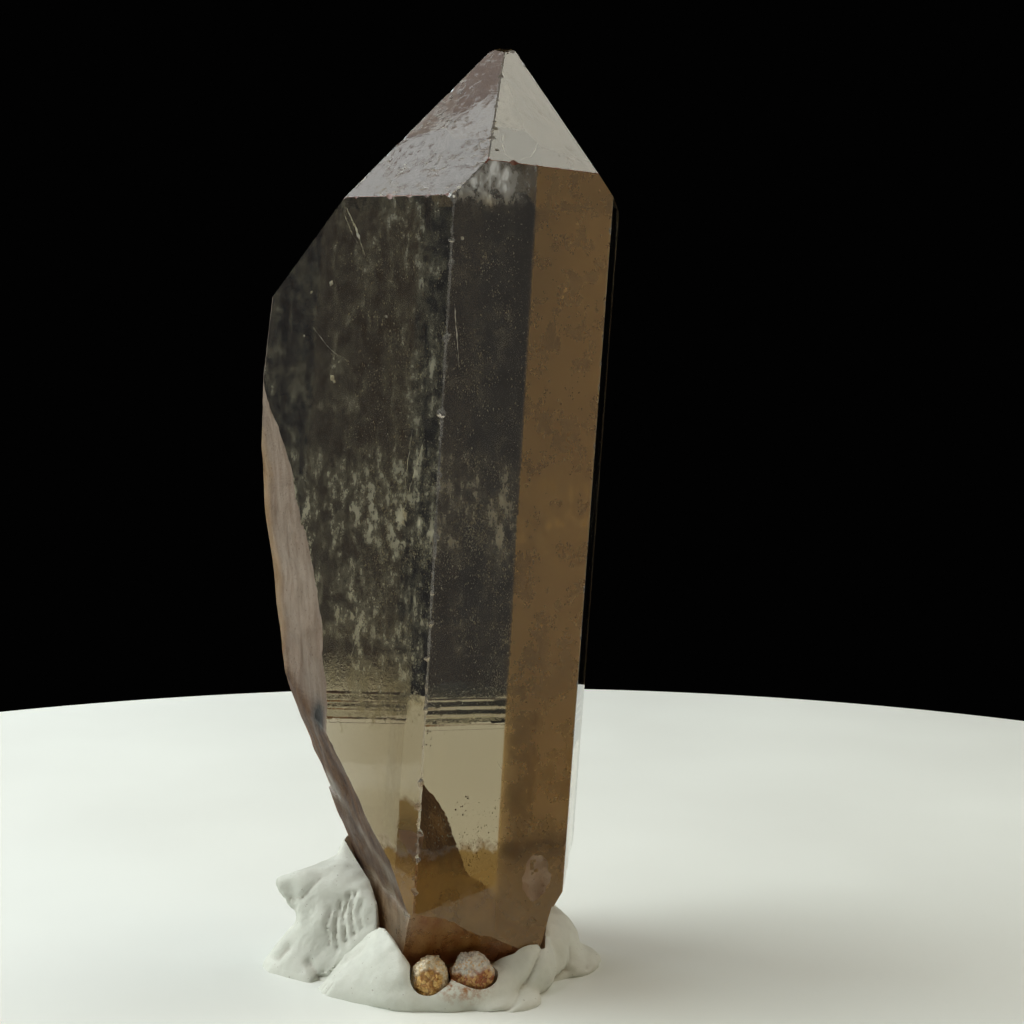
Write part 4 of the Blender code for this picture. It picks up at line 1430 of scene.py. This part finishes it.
def rusty_top(place):
    """The whitish upper part of the rusty grain."""
    return (axis_of(place, "Z") + noise_of(place, "rusty_top") * TOP_WANDER).level("rusty_top")


def floor_material():
    """The disc's pale satin surface, faintly mottled."""
    made, sockets, place = new_material("disc")
    clouds = noise_of(place, "floor_clouds")
    specks = noise_of(place, "floor_specks")
    colour = blend(clouds.level("floor_clouds"), FLOOR_SHADE, FLOOR_LIGHT)
    feed(sockets["Base Color"], blend(specks.level("floor_specks"), colour, FLOOR_SHADE))
    feed(sockets["Roughness"], clouds.level("floor_roughness"))
    feed(sockets["Normal"], bump_of(specks, "floor_specks"))
    return made


def shade_sheet_material():
    """Painted shade: dull and dark, fading to the disc's colour far from the crystal, and clear from below.
    """
    made, sockets, place = new_material("painted_shade")
    near = axis_of(place, "Y").level("shade_sheet_fade")
    feed(sockets["Base Color"], blend(near, FLOOR_SHADE, PAINTED_SHADE_COLOUR))
    sockets["Roughness"].default_value = SHEET_ROUGHNESS
    feed(sockets["Alpha"], 1.0 - add_node(place.tree, "NewGeometry", "Backfacing", {}))
    return made


def inclusion_material(name, colour):
    """The plain material of something inside the crystal."""
    made = bpy.data.materials.new(name)
    made.use_nodes = True
    sockets = made.node_tree.nodes["Principled BSDF"].inputs
    feed(sockets["Base Color"], colour)
    sockets["Roughness"].default_value = INCLUSION_ROUGHNESS
    return made


def place_piece(piece, node):
    """Fixes a piece to the part in place of a CAD node, and hides that node."""
    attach(piece, "root")
    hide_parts(node)


def make_floor():
    """The pale disc."""
    bm = bmesh.new()
    bmesh.ops.create_cone(bm, cap_ends=True, segments=DISC_SEGMENTS, radius1=DISC_RADIUS,
                          radius2=DISC_RADIUS, depth=DISC_THICKNESS)
    bmesh.ops.translate(bm, verts=bm.verts, vec=DISC_CENTRE - Vector((0, 0, DISC_THICKNESS / 2)))
    top = max(v.co.z for v in bm.verts)
    rim = [e for e in bm.edges if all(v.co.z > top - DISC_ROUNDING / 2 for v in e.verts)]
    bmesh.ops.bevel(bm, geom=rim, offset=DISC_ROUNDING, segments=4, affect="EDGES", profile=0.5)
    floor = object_from("turntable_floor", bm)
    shade(floor, FLOOR_CREASE)
    dress(floor, floor_material())


def make_painted_shade_sheet():
    """A dark sheet of painted shade before the disc's front, which shows only as a reflection in the crystal.
    """
    bm = bmesh.new()
    bm.faces.new([bm.verts.new(corner) for corner in SHEET_CORNERS])
    sheet = object_from("painted_shade_sheet", bm)
    dress(sheet, shade_sheet_material())
    for rays in ("camera", "diffuse", "transmission", "shadow"):
        setattr(sheet, "visible_" + rays, False)


def make_camera():
    """The photograph's camera."""
    data = bpy.data.cameras.new("camera")
    data.sensor_width = SENSOR_WIDTH
    data.lens = FOCAL_PIXELS / FRAME_PIXELS * SENSOR_WIDTH
    data.clip_start = NEAREST_SEEN
    camera = bpy.data.objects.new("camera", data)
    camera.location = CAMERA_PLACE * MM
    camera.rotation_euler = (math.radians(90 - CAMERA_DOWN), 0, 0)
    bpy.context.scene.collection.objects.link(camera)
    bpy.context.scene.camera = camera


def add_card(name, centre, facing, size, radiance, colour, turn):
    """A rectangular soft lamp of a given radiance, at a place in mm, which the camera doesn't see."""
    data = bpy.data.lights.new(name, "AREA")
    data.shape = "RECTANGLE"
    data.size = size[0] * MM
    data.size_y = size[1] * MM
    data.color = colour
    data.energy = radiance * data.size * data.size_y * math.pi
    lamp = bpy.data.objects.new(name, data)
    lamp.location = Vector(centre) * MM
    aim = Vector(facing).to_track_quat("-Z", "Y")
    lamp.rotation_euler = (Quaternion((0, 0, 1), math.radians(turn)) @ aim).to_euler()
    lamp.visible_camera = False
    bpy.context.scene.collection.objects.link(lamp)


def make_lights():
    """A dark room with soft lamps."""
    world = bpy.data.worlds.new("dark_room")
    world.use_nodes = True
    feed(world.node_tree.nodes["Background"].inputs["Color"], ROOM_COLOUR)
    bpy.context.scene.world = world
    for name, spec in CARDS.items():
        add_card(name, *spec)


def set_view():
    """Colours as they are, and enough bounces for a crystal with things in it."""
    scene = bpy.context.scene
    scene.view_settings.view_transform = "Standard"
    scene.cycles.max_bounces = 24
    scene.cycles.glossy_bounces = 16
    scene.cycles.transmission_bounces = 20
    scene.cycles.transparent_max_bounces = 32


make_camera()
set_view()
place_piece(make_crystal(), "quartz_crystal")
for inclusion, colour in ((make_veils(), VEIL_COLOUR), (make_flecks(), FLECK_COLOUR),
                          (make_hairlines(), FLECK_COLOUR), (make_grit(), GRIT_COLOUR),
                          (make_flakes(), BROWN_FLAKE_COLOUR)):
    dress(inclusion, inclusion_material(inclusion.name, colour))
    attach(inclusion, "root")
place_piece(make_putty(), "mounting_putty")
for node_name, slot, crust in (
        ("matrix_grain_pale", "pale_matrix", ("amber_crust", AMBER, GOLD, CREAM, pale_rim)),
        ("matrix_grain_rusty", "rusty_matrix", ("rusty_crust", RUST, OCHRE, CHALK, rusty_top))):
    grain = make_grain("sugary_" + node_name, *GRAINS[node_name])
    dress(grain, crust_material(*crust))
    place_piece(grain, node_name)
make_floor()
make_painted_shade_sheet()
make_lights()
